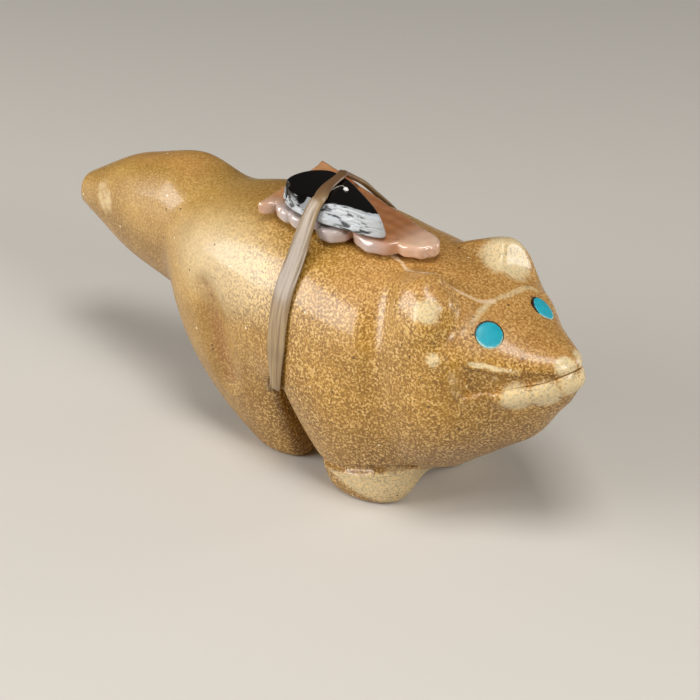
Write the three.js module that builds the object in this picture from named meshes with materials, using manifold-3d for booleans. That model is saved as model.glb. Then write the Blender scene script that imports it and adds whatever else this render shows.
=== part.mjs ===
// A small stone animal of the kind called a fetish: a stout beast with a thick straight tail, carved
// from one piece of tan stone, with turquoise eyes let into its face. A shell arrowhead and a black
// stone point lie on its back, held down by one turn of flat sinew.
//
// Millimetres. X runs from the tail to the nose, Y to the animal's left side and Z up. The origin is
// on the ground, below the middle of the overall length.

import * as THREE from "three";
import { mergeVertices } from "three/addons/utils/BufferGeometryUtils.js";
import Module from "manifold-3d";

// Driving sizes
const LENGTH = 70.7; // tip of the tail to the nose
const EYE_DIAMETER = 2.8;
const EYE_DEPTH = 1.5; // how deep each eye is let into the stone
const EYE_RISE = 0.2; // how far its domed face stands out of the socket
const SHELL_LENGTH = 21.3;
const SHELL_WIDTH = 11.5;
const SHELL_THICKNESS = 1.5;
const POINT_LENGTH = 12.9;
const POINT_WIDTH = 6.4;
const POINT_THICKNESS = 2.2;
const POINT_BEVEL = 0.7;
const TIE_WIDTH = 2;
const TIE_THICKNESS = 0.4;
const KNOT_DIAMETER = 1.8;
const GAP = 0.3; // between pieces that rest on or in each other
const CELL = 1.32; // spacing of the facets on the carved stone

// The carving is laid out in parts, 70.7 of which make the length.
const PART = LENGTH / 70.7;

// Each part's soften is how far its edge runs over into its neighbours.

// Masses drawn by rows of x, top, height of the widest line, underside and half width. A power of 2
// makes their sections round and a larger one squarer.
const TORSO = {
  power: 2.5,
  rearRound: 3,
  frontRound: 2.5,
  rows: [
    [-13, 25.5, 19, 13.5, 7],
    [-8, 27.2, 18, 11, 9.2],
    [-2, 27.8, 17, 8.5, 10.2],
    [5, 27.8, 16, 6.5, 10.7],
    [11, 27.5, 16, 5.3, 10.9],
    [15, 27.2, 16, 4.8, 10.7],
    [18.5, 26.9, 16.5, 4.6, 10.1],
    [22, 26.2, 17, 5.3, 9.9],
    [25, 25.3, 17.5, 7.2, 9.2],
    [28.4, 23.9, 18, 10, 7],
  ],
};
const MUZZLE = {
  power: 2,
  rearRound: 1,
  frontRound: 1.5,
  soften: 1.3,
  rows: [
    [22, 23.4, 20.3, 8, 7.8],
    [27, 23.9, 20.3, 8.9, 6.6],
    [31, 22.7, 20.3, 11.9, 4.4],
    [34, 22, 20.2, 15.3, 2.6],
    [35.7, 21.6, 19.9, 17.6, 1.3],
  ],
};
const TAIL = {
  power: 2.4,
  rearRound: 1,
  frontRound: 2,
  soften: 1,
  rows: [
    [-35.1, 20.9, 19, 17.5, 1.8],
    [-32, 22.7, 19.2, 16.6, 3],
    [-26, 25.6, 20, 14, 4.5],
    [-19, 27.6, 20, 12.3, 5.6],
    [-13, 26.4, 20, 11.8, 6.2],
    [-6, 26.5, 20, 11.8, 6.6],
  ],
};

// Rounded masses: centre, half sizes and the degrees that the nose end is turned up.
const HAUNCH = { centre: [-5.6, 4.5, 12], half: [7.9, 4.8, 14.4], pitch: 38, soften: 2 };
const SHOULDER = { centre: [9.6, 4.4, 12.5], half: [8.2, 6.5, 14], pitch: 26, soften: 2.5 };
const HIND_PAW = { centre: [-0.2, 4.1, 2.1], half: [4.2, 2.4, 3.2], pitch: 0, soften: 1.5 };
const FORE_PAW = { centre: [12.2, 5.3, 2], half: [5.2, 3.1, 3.7], pitch: 0, soften: 1.5 };
const EAR = { centre: [20.6, 5.2, 22.6], half: [5, 4.4, 6], pitch: -6, soften: 1.8 };

// Flat cuts: a point on the cut and the direction that it faces.
const FOREHEAD = { point: [25.8, 0, 25], facing: [0.56, 0, 0.83], soften: 0.6 };
const EYE_FACET = { point: [27.6, 4.3, 23.3], facing: [0.6, 0.35, 0.72], soften: 0.8 };
const EYE_RIGHT = [27.6, -4.25, 23.3];
const EYE_LEFT = [28, 3.85, 23.3]; // a little further forward than its fellow
const EAR_FRONT = { point: [22.3, 0, 28.2], facing: [0.92, 0.08, 0.37], soften: 1.2 };
const EAR_INNER = { point: [0, 5, 28.1], facing: [0, -0.8, 0.6], soften: 0.8 };
const EAR_CREST = { point: [21.6, 5.5, 28.5], facing: [-0.32, 0.12, 0.94], soften: 0.7 };

// The cut between fore and hind legs: its rounded top, where the tie passes, and its foot.
const NOTCH_TOP = { x: 3.4, z: 9.9, radius: 1.6 };
const NOTCH_FOOT = { x: 6.2, z: -1, radius: 2.6 };
const NOTCH_SOFTEN = 1;
const TIE_X = 3.8; // where the tie passes, in the same parts

const STONE = new THREE.MeshStandardMaterial({ color: 0xb98a4e, roughness: 0.35, metalness: 0 });
const TURQUOISE = new THREE.MeshStandardMaterial({ color: 0x35b4c8, roughness: 0.3, metalness: 0 });
const PINK_SHELL = new THREE.MeshStandardMaterial({ color: 0xe0a894, roughness: 0.3, metalness: 0 });
const BLACK_STONE = new THREE.MeshStandardMaterial({ color: 0x17161a, roughness: 0.12, metalness: 0 });
const SINEW = new THREE.MeshStandardMaterial({ color: 0xa98a63, roughness: 0.45, metalness: 0 });

const wasm = await Module();
wasm.setup();

// Shapes as distance functions: less than zero inside, growing outwards

function blend(a, b, reach) {
  const share = THREE.MathUtils.clamp(0.5 + (0.5 * (b - a)) / reach, 0, 1);
  return b + (a - b) * share - reach * share * (1 - share);
}

function cut(a, b, reach) {
  return -blend(-a, -b, reach);
}

// A smooth curve through rows whose first number is x, held flat beyond its ends.
function through(rows, x) {
  const last = rows.length - 1;
  const at = THREE.MathUtils.clamp(x, rows[0][0], rows[last][0]);
  let i = 0;
  while (i < last - 1 && at > rows[i + 1][0]) {
    i += 1;
  }
  const slope = (k, column) => {
    const before = rows[Math.max(k - 1, 0)];
    const after = rows[Math.min(k + 1, last)];
    return (after[column] - before[column]) / (after[0] - before[0]);
  };
  const span = rows[i + 1][0] - rows[i][0];
  const t = (at - rows[i][0]) / span;
  const t2 = t * t;
  const t3 = t2 * t;
  return rows[i].slice(1).map((value, k) => {
    const column = k + 1;
    return (
      (2 * t3 - 3 * t2 + 1) * value +
      (t3 - 2 * t2 + t) * span * slope(i, column) +
      (3 * t2 - 2 * t3) * rows[i + 1][column] +
      (t3 - t2) * span * slope(i + 1, column)
    );
  });
}

// A mass drawn by its profile and its width.
function loft(p, { power, rearRound, frontRound, rows }) {
  const [top, middle, underside, wide] = through(rows, p.x);
  const rise = p.z - middle;
  const tall = rise > 0 ? top - middle : middle - underside;
  const across = Math.abs(p.y / wide) ** power;
  const upright = Math.abs(rise / tall) ** power;
  const level = (across + upright) ** (1 / power);
  const side = (level - 1) * Math.min(wide, top - middle, middle - underside);
  const front = cut(side, p.x - rows[rows.length - 1][0], frontRound);
  return cut(front, rows[0][0] - p.x, rearRound);
}

function ellipsoid(p, { centre, half, pitch }) {
  const turn = THREE.MathUtils.degToRad(pitch);
  const x = p.x - centre[0];
  const y = p.y - centre[1];
  const z = p.z - centre[2];
  const along = x * Math.cos(turn) + z * Math.sin(turn);
  const up = z * Math.cos(turn) - x * Math.sin(turn);
  const near = Math.hypot(along / half[0], y / half[1], up / half[2]);
  const steep = Math.hypot(along / half[0] ** 2, y / half[1] ** 2, up / half[2] ** 2);
  return (near * (near - 1)) / Math.max(steep, 1e-9);
}

function plane(p, { point, facing }) {
  const size = Math.hypot(...facing);
  return ((p.x - point[0]) * facing[0] + (p.y - point[1]) * facing[1] + (p.z - point[2]) * facing[2]) / size;
}

function notch(p) {
  const dx = NOTCH_FOOT.x - NOTCH_TOP.x;
  const dz = NOTCH_FOOT.z - NOTCH_TOP.z;
  const along = ((p.x - NOTCH_TOP.x) * dx + (p.z - NOTCH_TOP.z) * dz) / (dx * dx + dz * dz);
  const t = THREE.MathUtils.clamp(along, 0, 1);
  const away = Math.hypot(p.x - NOTCH_TOP.x - dx * t, p.z - NOTCH_TOP.z - dz * t);
  return away - THREE.MathUtils.lerp(NOTCH_TOP.radius, NOTCH_FOOT.radius, t);
}

// The carved animal, in parts of its length. Both sides are alike.
function animal(x, y, z) {
  const p = { x, y: Math.abs(y), z };
  let shape = blend(loft(p, TORSO), loft(p, TAIL), TAIL.soften);
  shape = blend(shape, ellipsoid(p, HAUNCH), HAUNCH.soften);
  shape = blend(shape, ellipsoid(p, SHOULDER), SHOULDER.soften);
  shape = cut(shape, plane(p, FOREHEAD), FOREHEAD.soften);
  shape = cut(shape, plane(p, EYE_FACET), EYE_FACET.soften);
  shape = blend(shape, loft(p, MUZZLE), MUZZLE.soften);
  let ear = ellipsoid(p, EAR);
  for (const facet of [EAR_FRONT, EAR_INNER, EAR_CREST]) {
    ear = cut(ear, plane(p, facet), facet.soften);
  }
  shape = blend(shape, ear, EAR.soften);
  for (const paw of [HIND_PAW, FORE_PAW]) {
    shape = blend(shape, ellipsoid(p, paw), paw.soften);
  }
  return cut(shape, -notch(p), NOTCH_SOFTEN);
}

function stone(point) {
  return animal(point.x / PART, point.y / PART, point.z / PART) * PART;
}

// The way out of the stone at a point.
function outward(point) {
  const step = 0.02;
  const way = new THREE.Vector3();
  for (const axis of ["x", "y", "z"]) {
    const ahead = point.clone();
    const behind = point.clone();
    ahead[axis] += step;
    behind[axis] -= step;
    way[axis] = (stone(ahead) - stone(behind)) / (2 * step);
  }
  return way;
}

// The first point of the stone that is met from a start in a direction.
function meet(start, way) {
  const point = start.clone();
  for (let turn = 0; turn < 400; turn += 1) {
    const away = stone(point);
    if (away < 0.002) {
      break;
    }
    point.addScaledVector(way, Math.max(away * 0.7, 0.002));
  }
  return point;
}

// Skins a distance function with quads, one for each grid edge that crosses it.
function skin(low, high, cell) {
  const counts = [0, 1, 2].map((k) => Math.ceil((high[k] - low[k]) / cell) + 1);
  const [nx, ny, nz] = counts;
  const index = (i, j, k) => (i * ny + j) * nz + k;
  const corner = (i, j, k) => new THREE.Vector3(low[0] + i * cell, low[1] + j * cell, low[2] + k * cell);
  const value = new Float64Array(nx * ny * nz);
  for (let i = 0; i < nx; i += 1) {
    for (let j = 0; j < ny; j += 1) {
      for (let k = 0; k < nz; k += 1) {
        value[index(i, j, k)] = stone(corner(i, j, k));
      }
    }
  }

  const bits = [0, 1, 2, 3, 4, 5, 6, 7];
  const offset = (bit) => [bit & 1, (bit >> 1) & 1, (bit >> 2) & 1];
  const pairs = bits.flatMap((a) => [1, 2, 4].filter((b) => (a & b) === 0).map((b) => [a, a | b]));
  const vertexOf = new Map();
  const positions = [];
  for (let i = 0; i < nx - 1; i += 1) {
    for (let j = 0; j < ny - 1; j += 1) {
      for (let k = 0; k < nz - 1; k += 1) {
        const levels = bits.map((bit) => {
          const [a, b, c] = offset(bit);
          return value[index(i + a, j + b, k + c)];
        });
        const crossed = pairs.filter(([a, b]) => levels[a] < 0 !== levels[b] < 0);
        if (crossed.length === 0) {
          continue;
        }
        const mean = new THREE.Vector3();
        for (const [a, b] of crossed) {
          const from = corner(...offset(a).map((n, axis) => n + [i, j, k][axis]));
          const to = corner(...offset(b).map((n, axis) => n + [i, j, k][axis]));
          mean.add(from.lerp(to, levels[a] / (levels[a] - levels[b])));
        }
        mean.divideScalar(crossed.length);
        vertexOf.set(index(i, j, k), positions.length / 3);
        positions.push(...settle(mean, cell * 0.4).toArray());
      }
    }
  }

  const faces = [];
  const spot = (n) => new THREE.Vector3().fromArray(positions, 3 * n);
  const quad = (a, b, c, d, turned) => {
    const loop = turned ? [a, d, c, b] : [a, b, c, d];
    const [p, q, r, s] = loop.map(spot);
    if (p.distanceTo(r) < q.distanceTo(s)) {
      faces.push(loop[0], loop[1], loop[2], loop[0], loop[2], loop[3]);
    } else {
      faces.push(loop[1], loop[2], loop[3], loop[1], loop[3], loop[0]);
    }
  };
  for (let i = 1; i < nx - 1; i += 1) {
    for (let j = 1; j < ny - 1; j += 1) {
      for (let k = 1; k < nz - 1; k += 1) {
        const here = value[index(i, j, k)] < 0;
        const cell4 = (steps) => steps.map(([a, b, c]) => vertexOf.get(index(i - a, j - b, k - c)));
        if (here !== value[index(i + 1, j, k)] < 0) {
          quad(...cell4([[0, 1, 1], [0, 0, 1], [0, 0, 0], [0, 1, 0]]), !here);
        }
        if (here !== value[index(i, j + 1, k)] < 0) {
          quad(...cell4([[1, 0, 1], [1, 0, 0], [0, 0, 0], [0, 0, 1]]), !here);
        }
        if (here !== value[index(i, j, k + 1)] < 0) {
          quad(...cell4([[1, 1, 0], [0, 1, 0], [0, 0, 0], [1, 0, 0]]), !here);
        }
      }
    }
  }
  const geometry = new THREE.BufferGeometry();
  geometry.setAttribute("position", new THREE.Float32BufferAttribute(positions, 3));
  geometry.setIndex(faces);
  return geometry;
}

// Moves a point onto the stone's surface, by no more than a limit.
function settle(point, limit) {
  const start = point.clone();
  for (let turn = 0; turn < 4; turn += 1) {
    const way = outward(point);
    point.addScaledVector(way, -stone(point) / Math.max(way.lengthSq(), 0.05));
    const moved = point.clone().sub(start);
    if (moved.length() > limit) {
      point.copy(start).add(moved.setLength(limit));
    }
  }
  return point;
}

// Solids that can be joined and cut

function solid(geometry) {
  const bare = geometry.clone();
  for (const name of ["normal", "uv"]) {
    bare.deleteAttribute(name);
  }
  const merged = mergeVertices(bare, 1e-4);
  return new wasm.Manifold(
    new wasm.Mesh({
      numProp: 3,
      vertProperties: new Float32Array(merged.attributes.position.array),
      triVerts: new Uint32Array(merged.index.array),
    })
  );
}

function geometryOf(body) {
  const { vertProperties, triVerts } = body.getMesh();
  const geometry = new THREE.BufferGeometry();
  geometry.setAttribute("position", new THREE.BufferAttribute(vertProperties, 3));
  geometry.setIndex(new THREE.BufferAttribute(triVerts, 1));
  return geometry;
}

function box(low, high) {
  const size = high.clone().sub(low);
  const middle = low.clone().add(high).multiplyScalar(0.5);
  return new THREE.BoxGeometry(...size.toArray()).translate(...middle.toArray());
}

// Eyes: where each one meets its facet, and which way it looks.
function eyePlace(eye) {
  const facing = new THREE.Vector3(...EYE_FACET.facing).normalize();
  facing.y *= Math.sign(eye[1]);
  const outside = new THREE.Vector3(...eye).multiplyScalar(PART).addScaledVector(facing, 4 * PART);
  const centre = meet(outside, facing.clone().negate());
  const turn = new THREE.Quaternion().setFromUnitVectors(new THREE.Vector3(0, 1, 0), facing);
  return new THREE.Matrix4().compose(centre, turn, new THREE.Vector3(1, 1, 1));
}

function eyeGeometry(eye) {
  const radius = EYE_DIAMETER / 2;
  const outline = [new THREE.Vector2(0, -EYE_DEPTH), new THREE.Vector2(radius, -EYE_DEPTH)];
  const steps = 4;
  for (let n = 0; n < steps; n += 1) {
    const angle = (n / steps) * (Math.PI / 2);
    outline.push(new THREE.Vector2(radius * Math.cos(angle), EYE_RISE * Math.sin(angle)));
  }
  outline.push(new THREE.Vector2(0, EYE_RISE));
  return new THREE.LatheGeometry(outline, 24).applyMatrix4(eyePlace(eye));
}

function eyeSocket(eye) {
  const radius = EYE_DIAMETER / 2 + GAP;
  const above = 2 * EYE_DIAMETER;
  const below = EYE_DEPTH + GAP;
  return new THREE.CylinderGeometry(radius, radius, above + below, 24)
    .translate(0, (above - below) / 2, 0)
    .applyMatrix4(eyePlace(eye));
}

function stoneBody() {
  const room = 3 * CELL;
  const wide = Math.max(...TORSO.rows.map((row) => row[4])) * PART;
  // The grid is even about the middle, so both sides have like facets.
  const halfWidth = Math.ceil((wide + room) / CELL) * CELL;
  const low = [TAIL.rows[0][0] * PART - room, -halfWidth, -room];
  const nose = MUZZLE.rows[MUZZLE.rows.length - 1][0];
  const high = [nose * PART + room, halfWidth, (EAR.centre[2] + EAR.half[2]) * PART + room];
  const ground = box(new THREE.Vector3(-LENGTH, -LENGTH, -2 * room), new THREE.Vector3(LENGTH, LENGTH, 0));
  let body = solid(skin(low, high, CELL)).subtract(solid(ground));
  for (const eye of [EYE_RIGHT, EYE_LEFT]) {
    body = body.subtract(solid(eyeSocket(eye)));
  }
  return geometryOf(body);
}

// Arrowheads: outlines in plan, from the middle of the base to the tip along +x.

// The shell's corners: shares of its length and width, how many lobes its chipped edge has from there
// to the next one, and how far they stand out as a share of its width.
const SHELL_CORNERS = [
  { x: 0.055, y: -0.4, lobes: 2, out: 0.06 },
  { x: 0.395, y: -0.42, lobes: 1, out: 0.1 },
  { x: 0.63, y: -0.35, lobes: 1, out: 0.085 },
  { x: 0.87, y: -0.24, lobes: 1, out: 0.25 },
  { x: 0.845, y: 0.105, lobes: 4, out: 0.02 },
  { x: 0.033, y: 0.46, lobes: 1, out: -0.035 },
];

function shellOutline() {
  const steps = 5;
  const points = [];
  SHELL_CORNERS.forEach((corner, n) => {
    const next = SHELL_CORNERS[(n + 1) % SHELL_CORNERS.length];
    const from = new THREE.Vector2(corner.x * SHELL_LENGTH, corner.y * SHELL_WIDTH);
    const along = new THREE.Vector2(next.x * SHELL_LENGTH, next.y * SHELL_WIDTH).sub(from);
    const out = new THREE.Vector2(along.y, -along.x).normalize();
    for (let k = 0; k < corner.lobes * steps; k += 1) {
      const t = k / steps;
      const bulge = corner.out * SHELL_WIDTH * Math.abs(Math.sin(Math.PI * t));
      points.push(from.clone().addScaledVector(along, t / corner.lobes).addScaledVector(out, bulge));
    }
  });
  return points;
}

function pointOutline() {
  const steps = 14;
  const half = POINT_WIDTH / 2 - POINT_BEVEL;
  const points = [];
  for (let n = 0; n < 2 * steps; n += 1) {
    const side = n < steps ? -1 : 1;
    const around = (n / steps) * Math.PI;
    const along = 0.5 - 0.5 * Math.cos(around);
    const leaf = Math.sin(Math.PI * along ** 0.65) ** 0.75;
    const x = POINT_BEVEL + (POINT_LENGTH - 2 * POINT_BEVEL) * along;
    points.push(new THREE.Vector2(x, side * half * leaf));
  }
  return points;
}

function plate(outline, thickness, bevel) {
  return new THREE.ExtrudeGeometry(new THREE.Shape(outline), {
    depth: thickness - 2 * bevel,
    bevelEnabled: bevel > 0,
    bevelThickness: bevel,
    bevelSize: bevel,
    bevelSegments: 1,
  }).translate(0, 0, bevel);
}

// The arrowheads lie on the crown of the back: the middle of each base, how far they lean to the right
// and dip to the front, and how far the black point is turned.
const SHELL_BASE = new THREE.Vector2(-3.6, -0.7).multiplyScalar(PART);
const SHELL_LEAN = THREE.MathUtils.degToRad(8);
const SHELL_DIP = THREE.MathUtils.degToRad(2.5);
const POINT_BASE = new THREE.Vector2(0.7, -2.5).multiplyScalar(PART);
const POINT_HEADING = THREE.MathUtils.degToRad(-7);

// Lays a plate down at a height above the ground, before it is let down onto the back.
function laid(base, heading, height) {
  const turn = new THREE.Matrix4()
    .makeRotationY(SHELL_DIP)
    .multiply(new THREE.Matrix4().makeRotationX(SHELL_LEAN))
    .multiply(new THREE.Matrix4().makeRotationZ(heading));
  return new THREE.Matrix4().makeTranslation(base.x, base.y, height).multiply(turn);
}

// The height at which the shell's underside clears the back by the gap.
function seatHeight() {
  const high = LENGTH;
  const down = new THREE.Vector3(0, 0, -1);
  const place = laid(SHELL_BASE, 0, 0);
  let height = 0;
  for (const mark of shellOutline()) {
    for (const share of [1, 0.66, 0.33, 0]) {
      const spot = new THREE.Vector3(mark.x * share + (1 - share) * SHELL_LENGTH * 0.4, mark.y * share, 0);
      spot.applyMatrix4(place);
      const ground = meet(new THREE.Vector3(spot.x, spot.y, high), down);
      height = Math.max(height, ground.z - spot.z);
    }
  }
  return height + GAP;
}

const SEAT = seatHeight();

function shellArrowhead() {
  const place = laid(SHELL_BASE, 0, SEAT);
  return plate(shellOutline(), SHELL_THICKNESS, 0).applyMatrix4(place);
}

function blackPoint() {
  const reach = POINT_BASE.clone().sub(SHELL_BASE);
  const drop = Math.tan(SHELL_LEAN) * reach.y - Math.tan(SHELL_DIP) * reach.x;
  const place = laid(POINT_BASE, POINT_HEADING, SEAT + drop + SHELL_THICKNESS + GAP);
  return plate(pointOutline(), POINT_THICKNESS, POINT_BEVEL).applyMatrix4(place);
}

// The tie: a flat band drawn tight round the waist and over both arrowheads, and its knot.
function bandOutline(marks, away, count) {
  const reach = (angle) => {
    const way = new THREE.Vector2(Math.cos(angle), Math.sin(angle));
    return Math.max(...marks.map((mark) => mark.dot(way))) + away;
  };
  const step = (2 * Math.PI) / count;
  const points = [];
  for (let n = 0; n < count; n += 1) {
    const a = n * step;
    const b = a + step;
    const ra = reach(a);
    const rb = reach(b);
    const y = (ra * Math.sin(b) - rb * Math.sin(a)) / Math.sin(step);
    const z = (rb * Math.cos(a) - ra * Math.cos(b)) / Math.sin(step);
    points.push(new THREE.Vector2(y, z));
  }
  return points;
}

function sinewTie(pieces) {
  const middle = TIE_X * PART;
  const half = TIE_WIDTH / 2 + GAP;
  const slab = solid(
    box(
      new THREE.Vector3(middle - half, -LENGTH, NOTCH_TOP.z * PART),
      new THREE.Vector3(middle + half, LENGTH, LENGTH)
    )
  );
  const marks = [];
  for (const piece of pieces) {
    const { vertProperties } = solid(piece).intersect(slab).getMesh();
    for (let n = 0; n < vertProperties.length; n += 3) {
      marks.push(new THREE.Vector2(vertProperties[n + 1], vertProperties[n + 2]));
    }
  }
  const count = 64;
  const outer = bandOutline(marks, GAP + TIE_THICKNESS, count);
  const ring = new THREE.Shape(outer);
  ring.holes.push(new THREE.Path(bandOutline(marks, GAP, count)));
  const upright = new THREE.Matrix4().makeBasis(
    new THREE.Vector3(0, 1, 0),
    new THREE.Vector3(0, 0, 1),
    new THREE.Vector3(1, 0, 0)
  );
  const band = new THREE.ExtrudeGeometry(ring, { depth: TIE_WIDTH, bevelEnabled: false })
    .applyMatrix4(upright)
    .translate(middle - TIE_WIDTH / 2, 0, 0);
  const knotAt = outer[Math.round(count / 16)]; // on the far flank
  const knot = new THREE.SphereGeometry(KNOT_DIAMETER / 2, 12, 8)
    .scale(1, 0.7, 0.7)
    .translate(middle, knotAt.x, knotAt.y);
  return geometryOf(solid(band).add(solid(knot)));
}

function named(name, geometry, material) {
  const mesh = new THREE.Mesh(geometry, material);
  mesh.name = name;
  return mesh;
}

const bodyGeometry = stoneBody();
const shellGeometry = shellArrowhead();
const pointGeometry = blackPoint();

const figure = new THREE.Group();
figure.add(named("stone_body", bodyGeometry, STONE));
figure.add(named("eye_right", eyeGeometry(EYE_RIGHT), TURQUOISE));
figure.add(named("eye_left", eyeGeometry(EYE_LEFT), TURQUOISE));
figure.add(named("shell_arrowhead", shellGeometry, PINK_SHELL));
figure.add(named("black_point", pointGeometry, BLACK_STONE));
figure.add(named("sinew_tie", sinewTie([bodyGeometry, shellGeometry, pointGeometry]), SINEW));

// The origin lies below the middle of the length.
bodyGeometry.computeBoundingBox();
figure.position.x = -(bodyGeometry.boundingBox.min.x + bodyGeometry.boundingBox.max.x) / 2;

export default figure;
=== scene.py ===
# %% [markdown]
# # A carved stone animal with a bundle on its back
#
# The object is a small fetish carving. One piece of tan stone makes the whole animal. Two turquoise eyes
# are let into its face. A shell arrowhead and a black stone point lie on its back under one turn of sinew.
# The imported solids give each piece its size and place. This lesson makes a finer skin for each of them,
# gives them materials, and lights them softly. Sizes are in millimetres until a mesh is made.

# %% Load the solids
import math

import bmesh
import bpy
import numpy as np
from mathutils import Matrix, Vector


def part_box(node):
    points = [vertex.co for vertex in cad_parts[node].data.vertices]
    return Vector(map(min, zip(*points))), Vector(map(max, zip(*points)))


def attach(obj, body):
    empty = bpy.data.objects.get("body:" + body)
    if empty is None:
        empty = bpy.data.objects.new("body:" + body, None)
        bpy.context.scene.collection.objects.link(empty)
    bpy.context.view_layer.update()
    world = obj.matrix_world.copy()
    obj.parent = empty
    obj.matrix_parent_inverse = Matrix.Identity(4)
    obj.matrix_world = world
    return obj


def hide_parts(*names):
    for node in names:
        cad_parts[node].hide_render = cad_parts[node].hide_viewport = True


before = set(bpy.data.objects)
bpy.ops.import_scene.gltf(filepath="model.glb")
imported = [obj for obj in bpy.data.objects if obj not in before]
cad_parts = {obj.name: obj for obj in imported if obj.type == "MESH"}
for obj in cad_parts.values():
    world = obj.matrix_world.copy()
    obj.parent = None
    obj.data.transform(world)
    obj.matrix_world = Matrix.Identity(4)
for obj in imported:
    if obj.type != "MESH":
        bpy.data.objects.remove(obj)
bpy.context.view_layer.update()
MM = 0.001


def box_mm(node):
    """A solid's lowest and highest corners in millimetres."""
    low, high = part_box(node)
    return np.array(low) / MM, np.array(high) / MM


def in_scene(name, data):
    """A new object for some data, linked to the scene."""
    obj = bpy.data.objects.new(name, data)
    bpy.context.scene.collection.objects.link(obj)
    return obj


for node in sorted(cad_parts):
    low, high = box_mm(node)
    print(node, "is", np.round(high - low, 1), "mm")

# %% [markdown]
# ## Shapes as distances
#
# A carving has soft swells and crisp cuts in one skin. Both are easy to say with distance functions: each
# one gives how far a point lies outside a shape. Two shapes join or cut with a soft edge by blending
# their distances. The solids were drawn in the same way, so the same numbers are used here.

# %% Joining and cutting distances
def blend(a, b, reach):
    """Joins two shapes with a soft fillet."""
    share = np.clip(0.5 + 0.5 * (b - a) / reach, 0, 1)
    return b + (a - b) * share - reach * share * (1 - share)


def cut(a, b, reach):
    """Keeps what lies in both shapes, with a soft edge."""
    return -blend(-a, -b, reach)


def ease(value, start, end):
    """Runs smoothly from 0 at start to 1 at end."""
    t = np.clip((value - start) / (end - start), 0, 1)
    return t * t * (3 - 2 * t)


# %% Basic masses
def through(rows, x):
    """A smooth curve through rows whose first number is x, held flat beyond its ends."""
    rows = np.array(rows, float)
    xs, v = rows[:, 0], rows[:, 1:]
    slope = np.empty_like(v)
    slope[1:-1] = (v[2:] - v[:-2]) / (xs[2:] - xs[:-2])[:, None]
    slope[0] = (v[1] - v[0]) / (xs[1] - xs[0])
    slope[-1] = (v[-1] - v[-2]) / (xs[-1] - xs[-2])
    at = np.clip(x, xs[0], xs[-1])
    i = np.clip(np.searchsorted(xs, at, side="right") - 1, 0, len(xs) - 2)
    span = (xs[i + 1] - xs[i])[:, None]
    t = (at - xs[i])[:, None] / span
    t2, t3 = t * t, t * t * t
    curve = (2 * t3 - 3 * t2 + 1) * v[i] + (t3 - 2 * t2 + t) * span * slope[i]
    return (curve + (3 * t2 - 2 * t3) * v[i + 1] + (t3 - t2) * span * slope[i + 1]).T


def loft(p, rows, power, rear_round, front_round):
    """A mass drawn by its profile and its width."""
    top, middle, underside, wide = through(rows, p[:, 0])
    rise = p[:, 2] - middle
    tall = np.where(rise > 0, top - middle, middle - underside)
    level = (np.abs(p[:, 1] / wide) ** power + np.abs(rise / tall) ** power) ** (1 / power)
    side = (level - 1) * np.minimum(wide, np.minimum(top - middle, middle - underside))
    front = cut(side, p[:, 0] - rows[-1][0], front_round)
    return cut(front, rows[0][0] - p[:, 0], rear_round)


def ellipsoid(p, centre, half, pitch=0.0):
    """A rounded mass whose front end is turned up by some degrees."""
    turn = math.radians(pitch)
    x, y, z = (p - np.array(centre)).T
    along = x * math.cos(turn) + z * math.sin(turn)
    up = z * math.cos(turn) - x * math.sin(turn)
    near = np.sqrt((along / half[0]) ** 2 + (y / half[1]) ** 2 + (up / half[2]) ** 2)
    steep = np.sqrt((along / half[0] ** 2) ** 2 + (y / half[1] ** 2) ** 2 + (up / half[2] ** 2) ** 2)
    return near * (near - 1) / np.maximum(steep, 1e-9)


def plane(p, point, facing):
    """A flat cut: negative behind it."""
    facing = np.array(facing) / np.linalg.norm(facing)
    return (p - np.array(point)) @ facing


def from_line(p, marks):
    """Distance from a bent line through some marks, and how far along it each point lies, from 0 to 1."""
    marks = np.array(marks, float)
    lengths = np.linalg.norm(np.diff(marks, axis=0), axis=1)
    starts = np.concatenate([[0], np.cumsum(lengths)])
    away = np.full(len(p), 1e9)
    along = np.zeros(len(p))
    for a, b, start, length in zip(marks[:-1], marks[1:], starts, lengths):
        t = np.clip((p - a) @ (b - a) / length**2, 0, 1)
        d = np.linalg.norm(p - a - t[:, None] * (b - a), axis=1)
        closer = d < away
        away = np.where(closer, d, away)
        along = np.where(closer, (start + t * length) / starts[-1], along)
    return away, along

# %% [markdown]
# ## The camera
#
# The photograph looks down on the animal's right side from ahead of its shoulder, through a long lens. The
# camera is set first, so that every piece can be judged from the same place while it is made.

# %% Camera
CAMERA_AROUND = 42
CAMERA_ABOVE = 28
CAMERA_AWAY = 280
FOCAL_PIXELS = 2604
PHOTO_PIXELS = 700
SENSOR = 36
AIM = Vector((4.84, 0, 11.88))


def toward(around, above):
    """The direction from the object to an eye that stands so many degrees round it and above it."""
    a, e = math.radians(around), math.radians(above)
    return Vector((math.sin(a) * math.cos(e), -math.cos(a) * math.cos(e), math.sin(e)))


eye_way = toward(CAMERA_AROUND, CAMERA_ABOVE)
camera = in_scene("camera", bpy.data.cameras.new("camera"))
camera.data.sensor_width = SENSOR
camera.data.lens = SENSOR * FOCAL_PIXELS / PHOTO_PIXELS
camera.data.clip_start = 0.01
camera.location = (AIM + eye_way * CAMERA_AWAY) * MM
camera.rotation_euler = eye_way.to_track_quat("Z", "Y").to_euler()
bpy.context.scene.camera = camera
print("lens", round(camera.data.lens, 1), "mm")

# %% [markdown]
# ## The carving
#
# One block of stone was ground into rounded masses, then cut with a few flat facets for the forehead, the
# eyes and the ears, and split below by one sawn notch between the legs. The rows and masses here are those
# of the solid. Both sides are alike, so each point is folded onto the left side first.

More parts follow.
